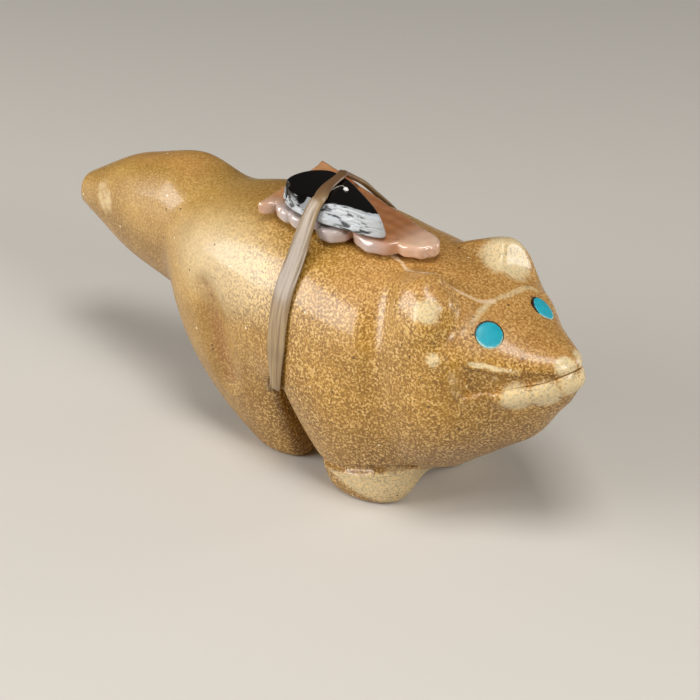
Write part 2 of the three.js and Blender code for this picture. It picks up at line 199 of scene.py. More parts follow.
# %% The main masses
TORSO = [(-13, 25.5, 19, 13.5, 7), (-8, 27.2, 18, 11, 9.2), (-2, 27.8, 17, 8.5, 10.2),
         (5, 27.8, 16, 6.5, 10.7), (11, 27.5, 16, 5.3, 10.9), (15, 27.2, 16, 4.8, 10.7),
         (18.5, 26.9, 16.5, 4.6, 10.1), (22, 26.2, 17, 5.3, 9.9), (25, 25.3, 17.5, 7.2, 9.2),
         (28.4, 23.9, 18, 10, 7)]
MUZZLE = [(22, 23.4, 20.3, 8, 7.8), (27, 23.9, 20.3, 8.9, 6.6), (31, 22.7, 20.3, 11.9, 4.4),
          (34, 22, 20.2, 15.3, 2.6), (35.7, 21.6, 19.9, 17.6, 1.3)]
TAIL = [(-35.1, 20.9, 19, 17.5, 1.8), (-32, 22.7, 19.2, 16.6, 3), (-26, 25.6, 20, 14, 4.5),
        (-19, 27.6, 20, 12.3, 5.6), (-13, 26.4, 20, 11.8, 6.2), (-6, 26.5, 20, 11.8, 6.6)]
FOREHEAD = ((25.8, 0, 25), (0.56, 0, 0.83))
EYE_FACET = ((27.6, 4.3, 23.3), (0.6, 0.35, 0.72))


def ears(q):
    """Low three-sided crests, each with a flat front and a flat inner face."""
    ear = ellipsoid(q, (20.6, 5.2, 22.6), (5, 4.4, 6), -6)
    ear = cut(ear, plane(q, (22.3, 0, 28.2), (0.92, 0.08, 0.37)), 0.8)
    ear = cut(ear, plane(q, (0, 5, 28.1), (0, -0.8, 0.6)), 0.6)
    return cut(ear, plane(q, (21.6, 5.5, 28.5), (-0.32, 0.12, 0.94)), 0.6)


def notch(q):
    """The sawn cut between fore and hind legs, wider towards the ground."""
    top, foot = np.array([3.4, 9.9]), np.array([6.2, -1])
    at = q[:, [0, 2]]
    t = np.clip((at - top) @ (foot - top) / ((foot - top) @ (foot - top)), 0, 1)
    return np.linalg.norm(at - top - t[:, None] * (foot - top), axis=1) - (1.6 + t)


def rough_animal(q):
    """The animal as it was before the fine work."""
    shape = blend(loft(q, TORSO, 2.5, 3, 2.5), loft(q, TAIL, 2.4, 1, 2), 1)
    shape = blend(shape, ellipsoid(q, (-5.6, 4.5, 12), (7.9, 4.8, 14.4), 38), 2)
    shape = blend(shape, ellipsoid(q, (9.6, 4.4, 12.5), (8.2, 6.5, 14), 26), 2.5)
    shape = cut(shape, plane(q, *FOREHEAD), 0.35)
    shape = cut(shape, plane(q, *EYE_FACET), 0.4)
    shape = blend(shape, loft(q, MUZZLE, 2, 1, 1.5), 0.9)
    shape = blend(shape, ears(q), 1.5)
    shape = blend(shape, ellipsoid(q, (-0.2, 4.1, 2.1), (4.2, 2.4, 3.2)), 1.5)
    shape = blend(shape, ellipsoid(q, (12.2, 5.3, 2), (5.2, 3.1, 3.7)), 1.5)
    return cut(shape, -notch(q), 1)


# %% [markdown]
# ## Fine carving
#
# A small bur has hollowed each cheek under a crisp ridge and left the lower lip proud. It has also creased
# the front of each fore paw below the chest, flattened the thigh and hollowed the neck behind the ear. These
# cuts are shallow, so each cutter only grazes the skin, and none of them changes the outline. A slow waver
# stands for the hand that ground it.

# %% Cuts with the bur
MOUTH = [(26, 17), (30, 18.1), (33.4, 19.3), (36.4, 21)]
CHEEK_RIDGE = 20.3
CHEEK_REAR = 27.1
CHEEK = ((27.15, 6.9, 20.3), (0.56, 0.8, -0.1))
RIDGE = [(27.3, 6.7, 20.6), (29.2, 5.2, 20.2), (31.3, 3.9, 20.2)]
RIDGE_ROUND = 0.45
LIP = [(29.6, 4.6, 17.2), (33, 2.5, 18.3), (34.9, 0.5, 19.1), (35, 0, 19.1)]
LIP_ROUND = 0.95
CREASE = [(8.4, 8.0, 3.2), (12.6, 9.35, 4.1), (16, 8.65, 5.0), (19.4, 6.05, 5.9)]
THIGH = [(-7.6, 12.4, 18.5), (-6, 12.2, 14), (-4.6, 11.9, 9)]
THIGH_ROUND = 3.4
NECK = [(16.6, 8.9, 26), (17.6, 11.4, 20.4), (18, 11.9, 15)]
WAVER = 0.045
# Two low swellings on the right side only, behind the eye and at the edge of the ear.
SWELLINGS = [([(22.7, -6.6, 25.4), (22.7, -7.2, 24.1)], 1.65, 1.6),
             ([(23.8, -8.4, 20.65), (24.6, -8.1, 20.7)], 1.0, 0.4)]


def lips(q):
    """Height above the line between the lips."""
    xs, zs = np.array(MOUTH).T
    return q[:, 2] - np.interp(q[:, 0], xs, zs)


def fine_animal(q):
    """The finished surface of the stone."""
    shape = rough_animal(q)
    shape = blend(shape, from_line(q, LIP)[0] - LIP_ROUND, 0.8)
    hollow = np.maximum(-plane(q, *CHEEK), np.maximum(q[:, 2] - CHEEK_RIDGE, -lips(q)))
    shape = cut(shape, -np.maximum(hollow, CHEEK_REAR - q[:, 0]), 0.45)
    shape = blend(shape, from_line(q, RIDGE)[0] - RIDGE_ROUND, 0.15)
    for marks, radius, reach in ((CREASE, 0.55, 0.35), (THIGH, THIGH_ROUND, 0.7), (NECK, 1.3, 1.5)):
        shape = cut(shape, radius - from_line(q, marks)[0], reach)
    return cut(shape, -q[:, 2], 0.4)


def waver(p):
    """The slight unevenness that hand grinding leaves, in millimetres."""
    x, y, z = p.T
    waves = np.sin(0.55 * x + 0.3 * y + 1) + np.sin(0.7 * y - 0.4 * z + 2) + np.sin(0.6 * z + 0.35 * x)
    return WAVER * waves


BATCH = 30000


def stone(p):
    """Distance from the finished stone, in batches small enough for the processor's own memory."""
    shares = np.array_split(p, max(1, len(p) // BATCH))
    whole = [fine_animal(np.column_stack([s[:, 0], np.abs(s[:, 1]), s[:, 2]])) for s in shares]
    shape = np.concatenate(whole)
    for marks, radius, reach in SWELLINGS:
        shape = blend(shape, from_line(p, marks)[0] - radius, reach)
    return shape + waver(p) * ease(p[:, 2], 0, 3)


# %% [markdown]
# ## From distances to a mesh
#
# A grid of points is laid over a shape. Each grid cell that the surface passes through gets one vertex, and
# each grid edge that crosses it gets one quad. The vertices then slide on to the surface itself, which
# brings out creases that the grid is too coarse for.

# %% Skinning a distance function
def skin(field, low, high, cell):
    """Points and outward quads on the zero level of a field."""
    counts = np.ceil((np.array(high) - low) / cell).astype(int) + 1
    ticks = [low[k] + cell * np.arange(counts[k]) for k in range(3)]
    value = field(np.stack(np.meshgrid(*ticks, indexing="ij"), -1).reshape(-1, 3)).reshape(counts)
    value[value == 0] = 1e-9
    total, number = np.zeros((*(counts - 1), 3)), np.zeros(counts - 1)
    for axis in range(3):
        for corner in ((0, 0), (0, 1), (1, 0), (1, 1)):
            start = np.insert(corner, axis, 0)
            here = value[tuple(slice(s, s + n - 1) for s, n in zip(start, counts))]
            start[axis] = 1
            there = value[tuple(slice(s, s + n - 1) for s, n in zip(start, counts))]
            crossed = np.nonzero((here < 0) != (there < 0))
            spot = np.tile(start.astype(float), (len(crossed[0]), 1))
            spot[:, axis] = here[crossed] / (here[crossed] - there[crossed])
            total[crossed] += spot
            number[crossed] += 1
    used = np.nonzero(number)
    ids = np.zeros(counts - 1, int)
    ids[used] = np.arange(len(used[0]))
    points = low + cell * (np.stack(used, 1) + total[used] / number[used][:, None])
    quads = [ring(value < 0, ids, axis) for axis in range(3)]
    return settle(field, points, cell), np.concatenate(quads)


def ring(inside, ids, axis):
    """One quad round each grid edge along an axis whose ends lie on either side of the surface."""
    b, c = (axis + 1) % 3, (axis + 2) % 3
    first, second = [slice(1, -1)] * 3, [slice(1, -1)] * 3
    first[axis], second[axis] = slice(0, -1), slice(1, None)
    here = inside[tuple(first)]
    at = np.stack(np.nonzero(here != inside[tuple(second)]), 1)
    solid = here[tuple(at.T)]
    at = at + np.array([0 if k == axis else 1 for k in range(3)])
    corners = []
    for back_b, back_c in ((1, 1), (0, 1), (0, 0), (1, 0)):
        cell = at.copy()
        cell[:, b] -= back_b
        cell[:, c] -= back_c
        corners.append(ids[tuple(cell.T)])
    loops = np.stack(corners, 1)
    loops[~solid] = loops[~solid][:, ::-1]
    return loops


def outward(field, points):
    """The slope of a field at some points."""
    step = 0.02
    ways = [field(points + step * e) - field(points - step * e) for e in np.eye(3)]
    return np.stack(ways, 1) / (2 * step)


def settle(field, points, cell):
    """Moves points on to the surface, by less than half a cell."""
    start = points.copy()
    for _ in range(3):
        way = outward(field, points)
        points = points - way * (field(points) / np.maximum((way**2).sum(1), 0.05))[:, None]
        moved = points - start
        far = np.maximum(np.linalg.norm(moved, axis=1) / (0.45 * cell), 1)[:, None]
        points = start + moved / far
    return points


def as_object(name, points, faces):
    """A smooth-shaded object from points in millimetres."""
    mesh = bpy.data.meshes.new(name)
    mesh.from_pydata((np.array(points) * MM).tolist(), [], [list(map(int, face)) for face in faces])
    mesh.polygons.foreach_set("use_smooth", np.ones(len(mesh.polygons), bool))
    mesh.update()
    return in_scene(name, mesh)


def per_vertex(obj, what):
    """Three numbers for each vertex, such as its place or its normal."""
    found = np.empty(len(obj.data.vertices) * 3, np.float32)
    obj.data.vertices.foreach_get(what, found)
    return found.reshape(-1, 3)


def mark(obj, name, values):
    """Writes one number for each vertex, for the material to read."""
    obj.data.attributes.new(name, "FLOAT", "POINT").data.foreach_set("value", np.array(values, np.float32))


# %% Skin of the stone
STONE_CELL = 0.27
ROOM = 2 * STONE_CELL
stone_low, stone_high = box_mm("stone_body")
# The carving is laid out from its waist, and the frame's origin lies below the middle of its length.
SHIFT = np.array([(stone_low[0] + stone_high[0]) / 2 - (MUZZLE[-1][0] + TAIL[0][0]) / 2, 0, 0])
stone_points, stone_quads = skin(stone, stone_low - SHIFT - ROOM, stone_high - SHIFT + ROOM, STONE_CELL)
low, high = stone_points.min(0) + SHIFT, stone_points.max(0) + SHIFT
print("stone", len(stone_quads), "quads")
print("its box is off the solid's by", np.round(low - stone_low, 2), np.round(high - stone_high, 2), "mm")

# %% [markdown]
# ## Eyes
# Each eye is a small round plug of turquoise in a drilled hole, set in dark glue and polished with the face
# until it stands slightly proud. The hole is a real one, cut by a Boolean, because its shaded edge is what
# makes an inlay look let in. The plug sits a little low in its hole, so the glue shows as a dark crescent
# above it; that dark is partly the glue and partly painted shade for the top of the socket.

# %% A turned shape
SIDES = 64


def turned(outline, sides=SIDES):
    """Points and faces of a closed shape turned round Z, from an outline of (radius, height) going up."""
    around = np.linspace(0, 2 * math.pi, sides, endpoint=False)
    points, rows = [], []
    for radius, height in outline:
        if radius == 0:
            rows.append([len(points)] * sides)
            points.append((0, 0, height))
        else:
            rows.append(list(range(len(points), len(points) + sides)))
            points.extend((radius * math.cos(a), radius * math.sin(a), height) for a in around)
    if outline[0][0] > 0:
        rows.append(rows[0])
    faces = []
    for below, above in zip(rows[:-1], rows[1:]):
        for n in range(sides):
            m = (n + 1) % sides
            faces.append(list(dict.fromkeys([below[n], below[m], above[m], above[n]])))
    return np.array(points, float), faces


def placed(points, matrix):
    """Points in millimetres carried by a matrix."""
    matrix = np.array(matrix)
    return np.array(points) @ matrix[:3, :3].T + matrix[:3, 3]


# %% Eyes, glue and sockets
EYE_DIAMETER = 2.8
EYE_RISE = 0.2
EYE_LOW = 0.1
EYE_AT = {"right": (27.6, -4.25, 23.3), "left": (28, 3.85, 23.3)}
SOCKET_DEEP = 1.2
GLUE_WIDE = 0.1
GLUE_SUNK = 0.1
GLUE_TILT = 4
GLUE_UNDER = 0.12
GLUE_DEEP = 0.9
GLUE_CLEAR = 0.01
PLUG_CLEAR = 0.1
DRILL_PROUD = 3


def eye_place(name):
    """A matrix on the eye facet: Z looks out and Y points up the face."""
    facing = np.array(EYE_FACET[1]) * (1, math.copysign(1, EYE_AT[name][1]), 1)
    facing /= np.linalg.norm(facing)
    spot = np.array(EYE_AT[name]) + 3 * facing
    for _ in range(40):
        spot = spot - 0.8 * facing * stone(spot[None])[0]
    z = Vector(facing)
    x = Vector((0, 0, 1)).cross(z).normalized()
    turn = Matrix((x, z.cross(x), z)).transposed().to_4x4()
    return Matrix.Translation(Vector(spot + SHIFT)) @ turn


EYE_SIZE = EYE_DIAMETER / 2
SOCKET = EYE_SIZE + GLUE_WIDE
dome = [(EYE_SIZE * math.cos(a), EYE_RISE * math.sin(a)) for a in np.linspace(0, math.pi / 2, 14)]
foot = PLUG_CLEAR - SOCKET_DEEP
plug = [(0, foot), (EYE_SIZE, foot), *dome[:-1], (0, EYE_RISE)]
glue_inner, glue_outer = EYE_SIZE - GLUE_UNDER, SOCKET - GLUE_CLEAR
glue_outline = [(glue_inner, -GLUE_DEEP), (glue_outer, -GLUE_DEEP), (glue_outer, -0.04), (SOCKET - 0.05, 0.0),
                (glue_inner, 0.0)]
eyes, glues, drills = {}, {}, []
for name in EYE_AT:
    place = eye_place(name)
    points, faces = turned(plug)
    seat = place @ Matrix.Translation((0, -EYE_LOW, 0))
    eyes[name] = as_object("turquoise_eye_" + name, placed(points, seat), faces)
    from_middle = np.hypot(points[:, 0], points[:, 1]) / EYE_SIZE
    mark(eyes[name], "chipped", from_middle - 0.14 * ease(points[:, 1], -0.9, 0.6))
    points, faces = turned(glue_outline)
    tilt = place @ Matrix.Translation((0, 0, -GLUE_SUNK)) @ Matrix.Rotation(math.radians(GLUE_TILT), 4, "X")
    glues[name] = as_object("eye_glue_" + name, placed(points, tilt), faces)
    drill = [(0, -SOCKET_DEEP), (SOCKET, -SOCKET_DEEP), (SOCKET, DRILL_PROUD), (0, DRILL_PROUD)]
    points, faces = turned(drill)
    drills.append(as_object("drill_" + name, placed(points, place), faces))
    low, high = box_mm("eye_" + name)
    print(name, "eye is off its solid by", np.round(np.array(place.translation) - (low + high) / 2, 2))

# %% [markdown]
# The line between the lips is finer than the grid of the skin, so it is sawn into the finished mesh. The
# saw is a thin plate whose inner edge follows the muzzle a little way under its skin.

# %% The saw for the mouth
MOUTH_MIDDLE = 30.0
MOUTH_TURN = 94
MOUTH_STEPS = 60
MOUTH_DEEP = 0.4
MOUTH_HALF = 0.085
SAW_PROUD = 0.8
MUZZLE_REACH = 9


def closed_sweep(sections):
    """Faces that join equal sections into one closed shape, capped at both ends."""
    size = len(sections[0])
    faces = []
    for n in range(len(sections) - 1):
        for k in range(size):
            m = (k + 1) % size
            faces.append((n * size + k, n * size + m, (n + 1) * size + m, (n + 1) * size + k))
    last = (len(sections) - 1) * size
    return [*faces, tuple(range(size))[::-1], tuple(last + k for k in range(size))]


sections = []
for turn in np.radians(np.linspace(-MOUTH_TURN, MOUTH_TURN, MOUTH_STEPS)):
    out = np.linspace(0, MUZZLE_REACH, 100 * MUZZLE_REACH + 1)
    x = MOUTH_MIDDLE + out * math.cos(turn)
    z = np.interp(x, *np.array(MOUTH).T)
    skin_at = out[stone(np.column_stack([x, out * math.sin(turn), z])) < 0].max()
    deep = MOUTH_DEEP * ease(math.radians(MOUTH_TURN) - abs(turn), -0.02, 0.5)
    section = []
    for away, half in ((-deep, 0.01), (SAW_PROUD, MOUTH_HALF * (1 + SAW_PROUD / MOUTH_DEEP))):
        x = MOUTH_MIDDLE + (skin_at + away) * math.cos(turn)
        z = np.interp(x, *np.array(MOUTH).T)
        y = (skin_at + away) * math.sin(turn)
        section.append([(x, y, z - half), (x, y, z + half)])
    sections.append([section[0][0], section[1][0], section[1][1], section[0][1]])
saw = as_object("mouth_saw", np.concatenate(sections) + SHIFT, closed_sweep(sections))

# %% The stone, sawn and drilled
body = as_object("stone_body_carved", stone_points + SHIFT, stone_quads)
for tool in (saw, *drills):
    work = bmesh.new()
    work.from_mesh(tool.data)
    bmesh.ops.recalc_face_normals(work, faces=work.faces)
    work.to_mesh(tool.data)
    work.free()
    bite = body.modifiers.new("cut", "BOOLEAN")
    bite.object, bite.operation, bite.solver = tool, "DIFFERENCE", "EXACT"
finished = bpy.data.meshes.new_from_object(body.evaluated_get(bpy.context.evaluated_depsgraph_get()))
body.modifiers.clear()
body.data = finished
SHARP = 38
body.data.set_sharp_from_angle(angle=math.radians(SHARP))
for tool in (saw, *drills):
    bpy.data.objects.remove(tool)
print("the finished stone has", sum(len(face.vertices) - 2 for face in body.data.polygons), "triangles")

# %% [markdown]
# ## The shell arrowhead
#
# It is a thin plate of pink shell. Its near edge was chipped into thick rounded lobes with deep notches
# between them, then tumbled until it shone. The plan is a ring of corners with a few lobes between each
# pair. The plate has round edges, thins towards its far side, and small scoops are cut from the rim.

# %% Shell outline
# Each corner is x and y, then how many lobes the edge has from there to the next, and how far they reach.
SHELL_EDGE = [(1.2, -5.3, 1, 0.4), (2.9, -4.2, 1, 0.5), (5.3, -4.9, 1, 0.7), (8.4, -4.3, 1, 1.6),
              (12.6, -3.2, 1, 1.3), (18.3, -2.5, 1, 0.15), (20.2, -2.1, 1, 0.12), (21.2, -1.2, 1, 0.1),
              (21.6, -0.4, 1, 0.1), (21.3, 0.5, 1, 0.1), (20.4, 1.2, 1, 0.05), (19.2, 1.45, 1, 0),
              (17.6, 1.75, 3, 0.1), (2.1, 5.45, 1, 0.05), (0.2, 5.75, 1, -0.4)]
LOBE_STEPS = 10
LOBE_BLUNT = 0.7
SHELL_THICK = 1.5
SHELL_THIN = 0.9
SHELL_ROUND = 0.42
SHELL_RIPPLE = 0.04


def lobed(corners):
    """A closed outline whose edges swell into lobes between its corners."""
    points = []
    for (x, y, lobes, out), after in zip(corners, corners[1:] + corners[:1]):
        start, end = np.array([x, y]), np.array(after[:2])
        along = end - start
        away = np.array([along[1], -along[0]]) / np.linalg.norm(along)
        for t in np.arange(lobes * LOBE_STEPS) / LOBE_STEPS:
            swell = abs(math.sin(math.pi * t)) ** LOBE_BLUNT
            points.append(start + along * t / lobes + away * out * swell)
    return np.array(points)


def from_outline(p, outline):
    """Distance in plan from a closed outline, less than zero inside it."""
    near = np.full(len(p), 1e9)
    inside = np.zeros(len(p), bool)
    at = p[:, :2]
    for a, b in zip(outline, np.roll(outline, -1, axis=0)):
        t = np.clip((at - a) @ (b - a) / ((b - a) @ (b - a)), 0, 1)
        near = np.minimum(near, ((at - a - t[:, None] * (b - a)) ** 2).sum(1))
        spans = (a[1] > at[:, 1]) != (b[1] > at[:, 1])
        if a[1] != b[1]:
            inside ^= spans & (at[:, 0] < a[0] + (at[:, 1] - a[1]) * (b[0] - a[0]) / (b[1] - a[1]))
    return np.where(inside, -1, 1) * np.sqrt(near)


def slab(plan, height, thick, rounding):
    """A plate with round edges that lies on z = 0."""
    side = plan + rounding
    rise = np.abs(height - thick / 2) - thick / 2 + rounding
    corner = np.hypot(np.maximum(side, 0), np.maximum(rise, 0))
    return corner + np.minimum(np.maximum(side, rise), 0) - rounding


# %% Shell skin
# Scoops left by flakes that sprang off the rim: centre, then half sizes.
SHELL_SCOOPS = [((11.3, -6.4, 1.5), (1.5, 1.3, 0.8)), ((9.2, -5.6, 1.8), (1.0, 1.1, 0.7)),
                ((15.6, -5.0, 1.6), (1.8, 1.1, 0.8)), ((12.5, -3.8, 1.9), (0.6, 0.8, 0.9)),
                ((17.4, -1.9, 1.75), (0.55, 0.35, 0.42)), ((6.3, -6.5, 1.8), (1.4, 1.2, 0.8)),
                ((3.9, -5.6, 1.7), (0.9, 0.9, 0.7)), ((19.2, -3.0, 1.7), (1.0, 0.7, 0.7))]
SHELL_CELL = 0.14
SHELL_ROOM = ((-0.5, -7.2, -0.4), (22.6, 6.2, 2))
shell_outline = lobed(SHELL_EDGE)


def shell(p):
    """Distance from the shell arrowhead, which lies on z = 0 with its base at x = 0."""
    plan = from_outline(p, shell_outline)
    thick = SHELL_THICK + (SHELL_THIN - SHELL_THICK) * ease(p[:, 1], -1, 5)
    ripple = SHELL_RIPPLE * np.sin(2.9 * p[:, 0] + 1.3 * p[:, 1]) * np.sin(2.1 * p[:, 1] - 0.8 * p[:, 0])
    shape = slab(plan + ripple, p[:, 2] - ripple, thick, SHELL_ROUND)
    for centre, half in SHELL_SCOOPS:
        shape = cut(shape, -ellipsoid(p, centre, half), 0.12)
    return shape


LEAN = math.radians(8)
DIP = math.radians(2.5)
SHELL_BASE = (-3.6, -0.7)


def resting(base, heading, node, points):
    """The matrix that lays a plate on the back, level with the underside of its solid."""
    turn = Matrix.Rotation(DIP, 4, "Y") @ Matrix.Rotation(LEAN, 4, "X") @ Matrix.Rotation(heading, 4, "Z")
    lift = box_mm(node)[0][2] - placed(points, turn)[:, 2].min()
    return Matrix.Translation((base[0] + SHIFT[0], base[1], lift)) @ turn


points, quads = skin(shell, *np.array(SHELL_ROOM), SHELL_CELL)
shell_place = resting(SHELL_BASE, 0, "shell_arrowhead", points)
shell_piece = as_object("pink_shell_arrowhead", placed(points, shell_place), quads)
mark(shell_piece, "along", points[:, 0])
mark(shell_piece, "across", points[:, 1])
print("shell", len(quads), "quads")

# %% [markdown]
# ## The black point
#
# A smaller arrowhead of black stone lies on the shell. Its top was ground flat and polished, and its sides
# were left as steep flaked bevels that catch the light. It is a leaf-shaped plate, and its sides lean in as
# they rise. A row of shallow scoops on the near side stands for the flakes.

# %% Black point skin
POINT_EDGE = [(-0.8, -1.8), (0.4, -2.8), (2.2, -3.2), (3.9, -3.2), (6.3, -2.75), (8.5, -1.9), (10.6, -1.2),
              (12.2, -0.5), (12.75, 0.15), (12.1, 0.85), (9.9, 1.75), (7.1, 2.6), (4.2, 3.35), (1.7, 3.3),
              (0.3, 2.4), (-0.6, 1.0), (-1.0, -0.5)]
POINT_THICK = 2.2
POINT_DOME = 0.02
POINT_BEVEL = 0.5
POINT_NEAR_BEVEL = 0.75
POINT_BASE = (0.7, -2.5)
POINT_HEADING = -7
POINT_CELL = 0.12
POINT_ROOM = ((-1.6, -3.8, -0.4), (13.3, 4.0, 2.6))
# Flakes struck off the near side: where along it, how far out, and how wide each one is.
FLAKES = [(0.1, -2.5, 0.8), (1.2, -3.5, 0.7), (2.6, -3.9, 0.9), (4.1, -4.0, 0.7), (5.5, -3.7, 0.9),
          (7.0, -3.2, 0.8), (8.2, -2.7, 0.6), (9.4, -2.3, 0.8), (10.9, -1.8, 0.7), (12.2, -1.2, 0.6)]
FLAKE_HEIGHT = 1.4
FLAKE_DEEP = 0.85
FLAKE_TALL = 1.25


def rounded_ring(corners, steps):
    """A closed smooth line through some corners."""
    ring = np.array(corners, float)
    before, after = np.roll(ring, 1, axis=0), np.roll(ring, -1, axis=0)
    slope, next_slope = (after - before) / 2, (np.roll(ring, -2, axis=0) - ring) / 2
    rows = []
    for t in np.arange(steps) / steps:
        t2, t3 = t * t, t * t * t
        start = (2 * t3 - 3 * t2 + 1) * ring + (t3 - 2 * t2 + t) * slope
        rows.append(start + (3 * t2 - 2 * t3) * after + (t3 - t2) * next_slope)
    return np.stack(rows, 1).reshape(-1, 2)


point_outline = rounded_ring(POINT_EDGE, 4)


def black_point(p):
    """Distance from the black point, which lies on z = 0 with its base at x = 0."""
    rise = np.clip(p[:, 2] / POINT_THICK, 0, 1)
    steep = POINT_BEVEL + POINT_NEAR_BEVEL * ease(p[:, 1], -0.5, -1.6) * ease(p[:, 0], 2.2, 3.8)
    side = from_outline(p, point_outline) + steep * rise**1.4
    top = np.abs(p[:, 2] - POINT_THICK / 2) - POINT_THICK / 2 + POINT_DOME * p[:, 1] ** 2
    shape = cut(side, top, 0.14)
    for x, y, wide in FLAKES:
        shape = cut(shape, -ellipsoid(p, (x, y, FLAKE_HEIGHT), (wide, FLAKE_DEEP, FLAKE_TALL)), 0.08)
    return shape


points, quads = skin(black_point, *np.array(POINT_ROOM), POINT_CELL)
point_place = resting(POINT_BASE, math.radians(POINT_HEADING), "black_point", points)
point_piece = as_object("black_stone_point", placed(points, point_place), quads)
mark(point_piece, "rim", -from_outline(points, point_outline))
# The near bevel, whose grey-white is partly frost and partly a painted reflection of the side light.
beside = points[:, 1] - 0.25 * np.maximum(points[:, 0] - 9, 0)
mark(point_piece, "near_side", ease(beside, 0.2, -0.6) * (1 - 0.9 * ease(points[:, 0], 6.0, 5.4)))
mark(point_piece, "along", points[:, 0])
mark(point_piece, "height", points[:, 2])
print("black point", len(quads), "quads")

# %% [markdown]
# ## The sinew
#
# One flat strand of sinew goes round the waist, through the notch below and over both arrowheads, and is
# knotted on the left flank, out of the camera's sight. It is stretched, so it follows the outer hull of
# whatever it crosses and never dips into a hollow. Its route is therefore worked out from the pieces it
# holds. Geometry Nodes then give the route its flat section, its fibres and its narrowing. The same tree
# makes the knot, its two ends and the clear thread.

# %% Adding nodes
def give(tree, value, socket):
    """Sets a socket to a value, or links it to an output. A node stands for its first output in use."""
    if isinstance(value, bpy.types.Node):
        value = next(output for output in value.outputs if output.enabled)
    if isinstance(value, bpy.types.NodeSocket):
        tree.links.new(value, socket)
    else:
        socket.default_value = value


def add(tree, kind, inputs=None, **settings):
    """Adds a node, sets it, and fills its inputs with values or with other nodes' outputs."""
    node = tree.nodes.new(kind)
    for name, value in settings.items():
        setattr(node, name, value)
    for name, value in (inputs or {}).items():
        give(tree, value, node.inputs[name])
    return node


# %% A tree that gives a path a strand's body
# Sizes in millimetres. The fibre depth is for the full range of a noise, which it seldom reaches.
STRAND_INPUTS = {"Width": 1.6, "Thickness": 0.4, "Step": 0.3, "Fibre width": 0.4, "Fibre depth": 0.2,
                 "Wander": 0.2, "Wander length": 6}
CARRIED = {"spot": "FLOAT_VECTOR", "way": "FLOAT_VECTOR", "broad": "FLOAT_VECTOR", "section": "FLOAT_VECTOR",
           "run": "FLOAT", "wide": "FLOAT", "thick": "FLOAT"}
STRAND_SEED = 7.0
STRAND_SIDES = 28


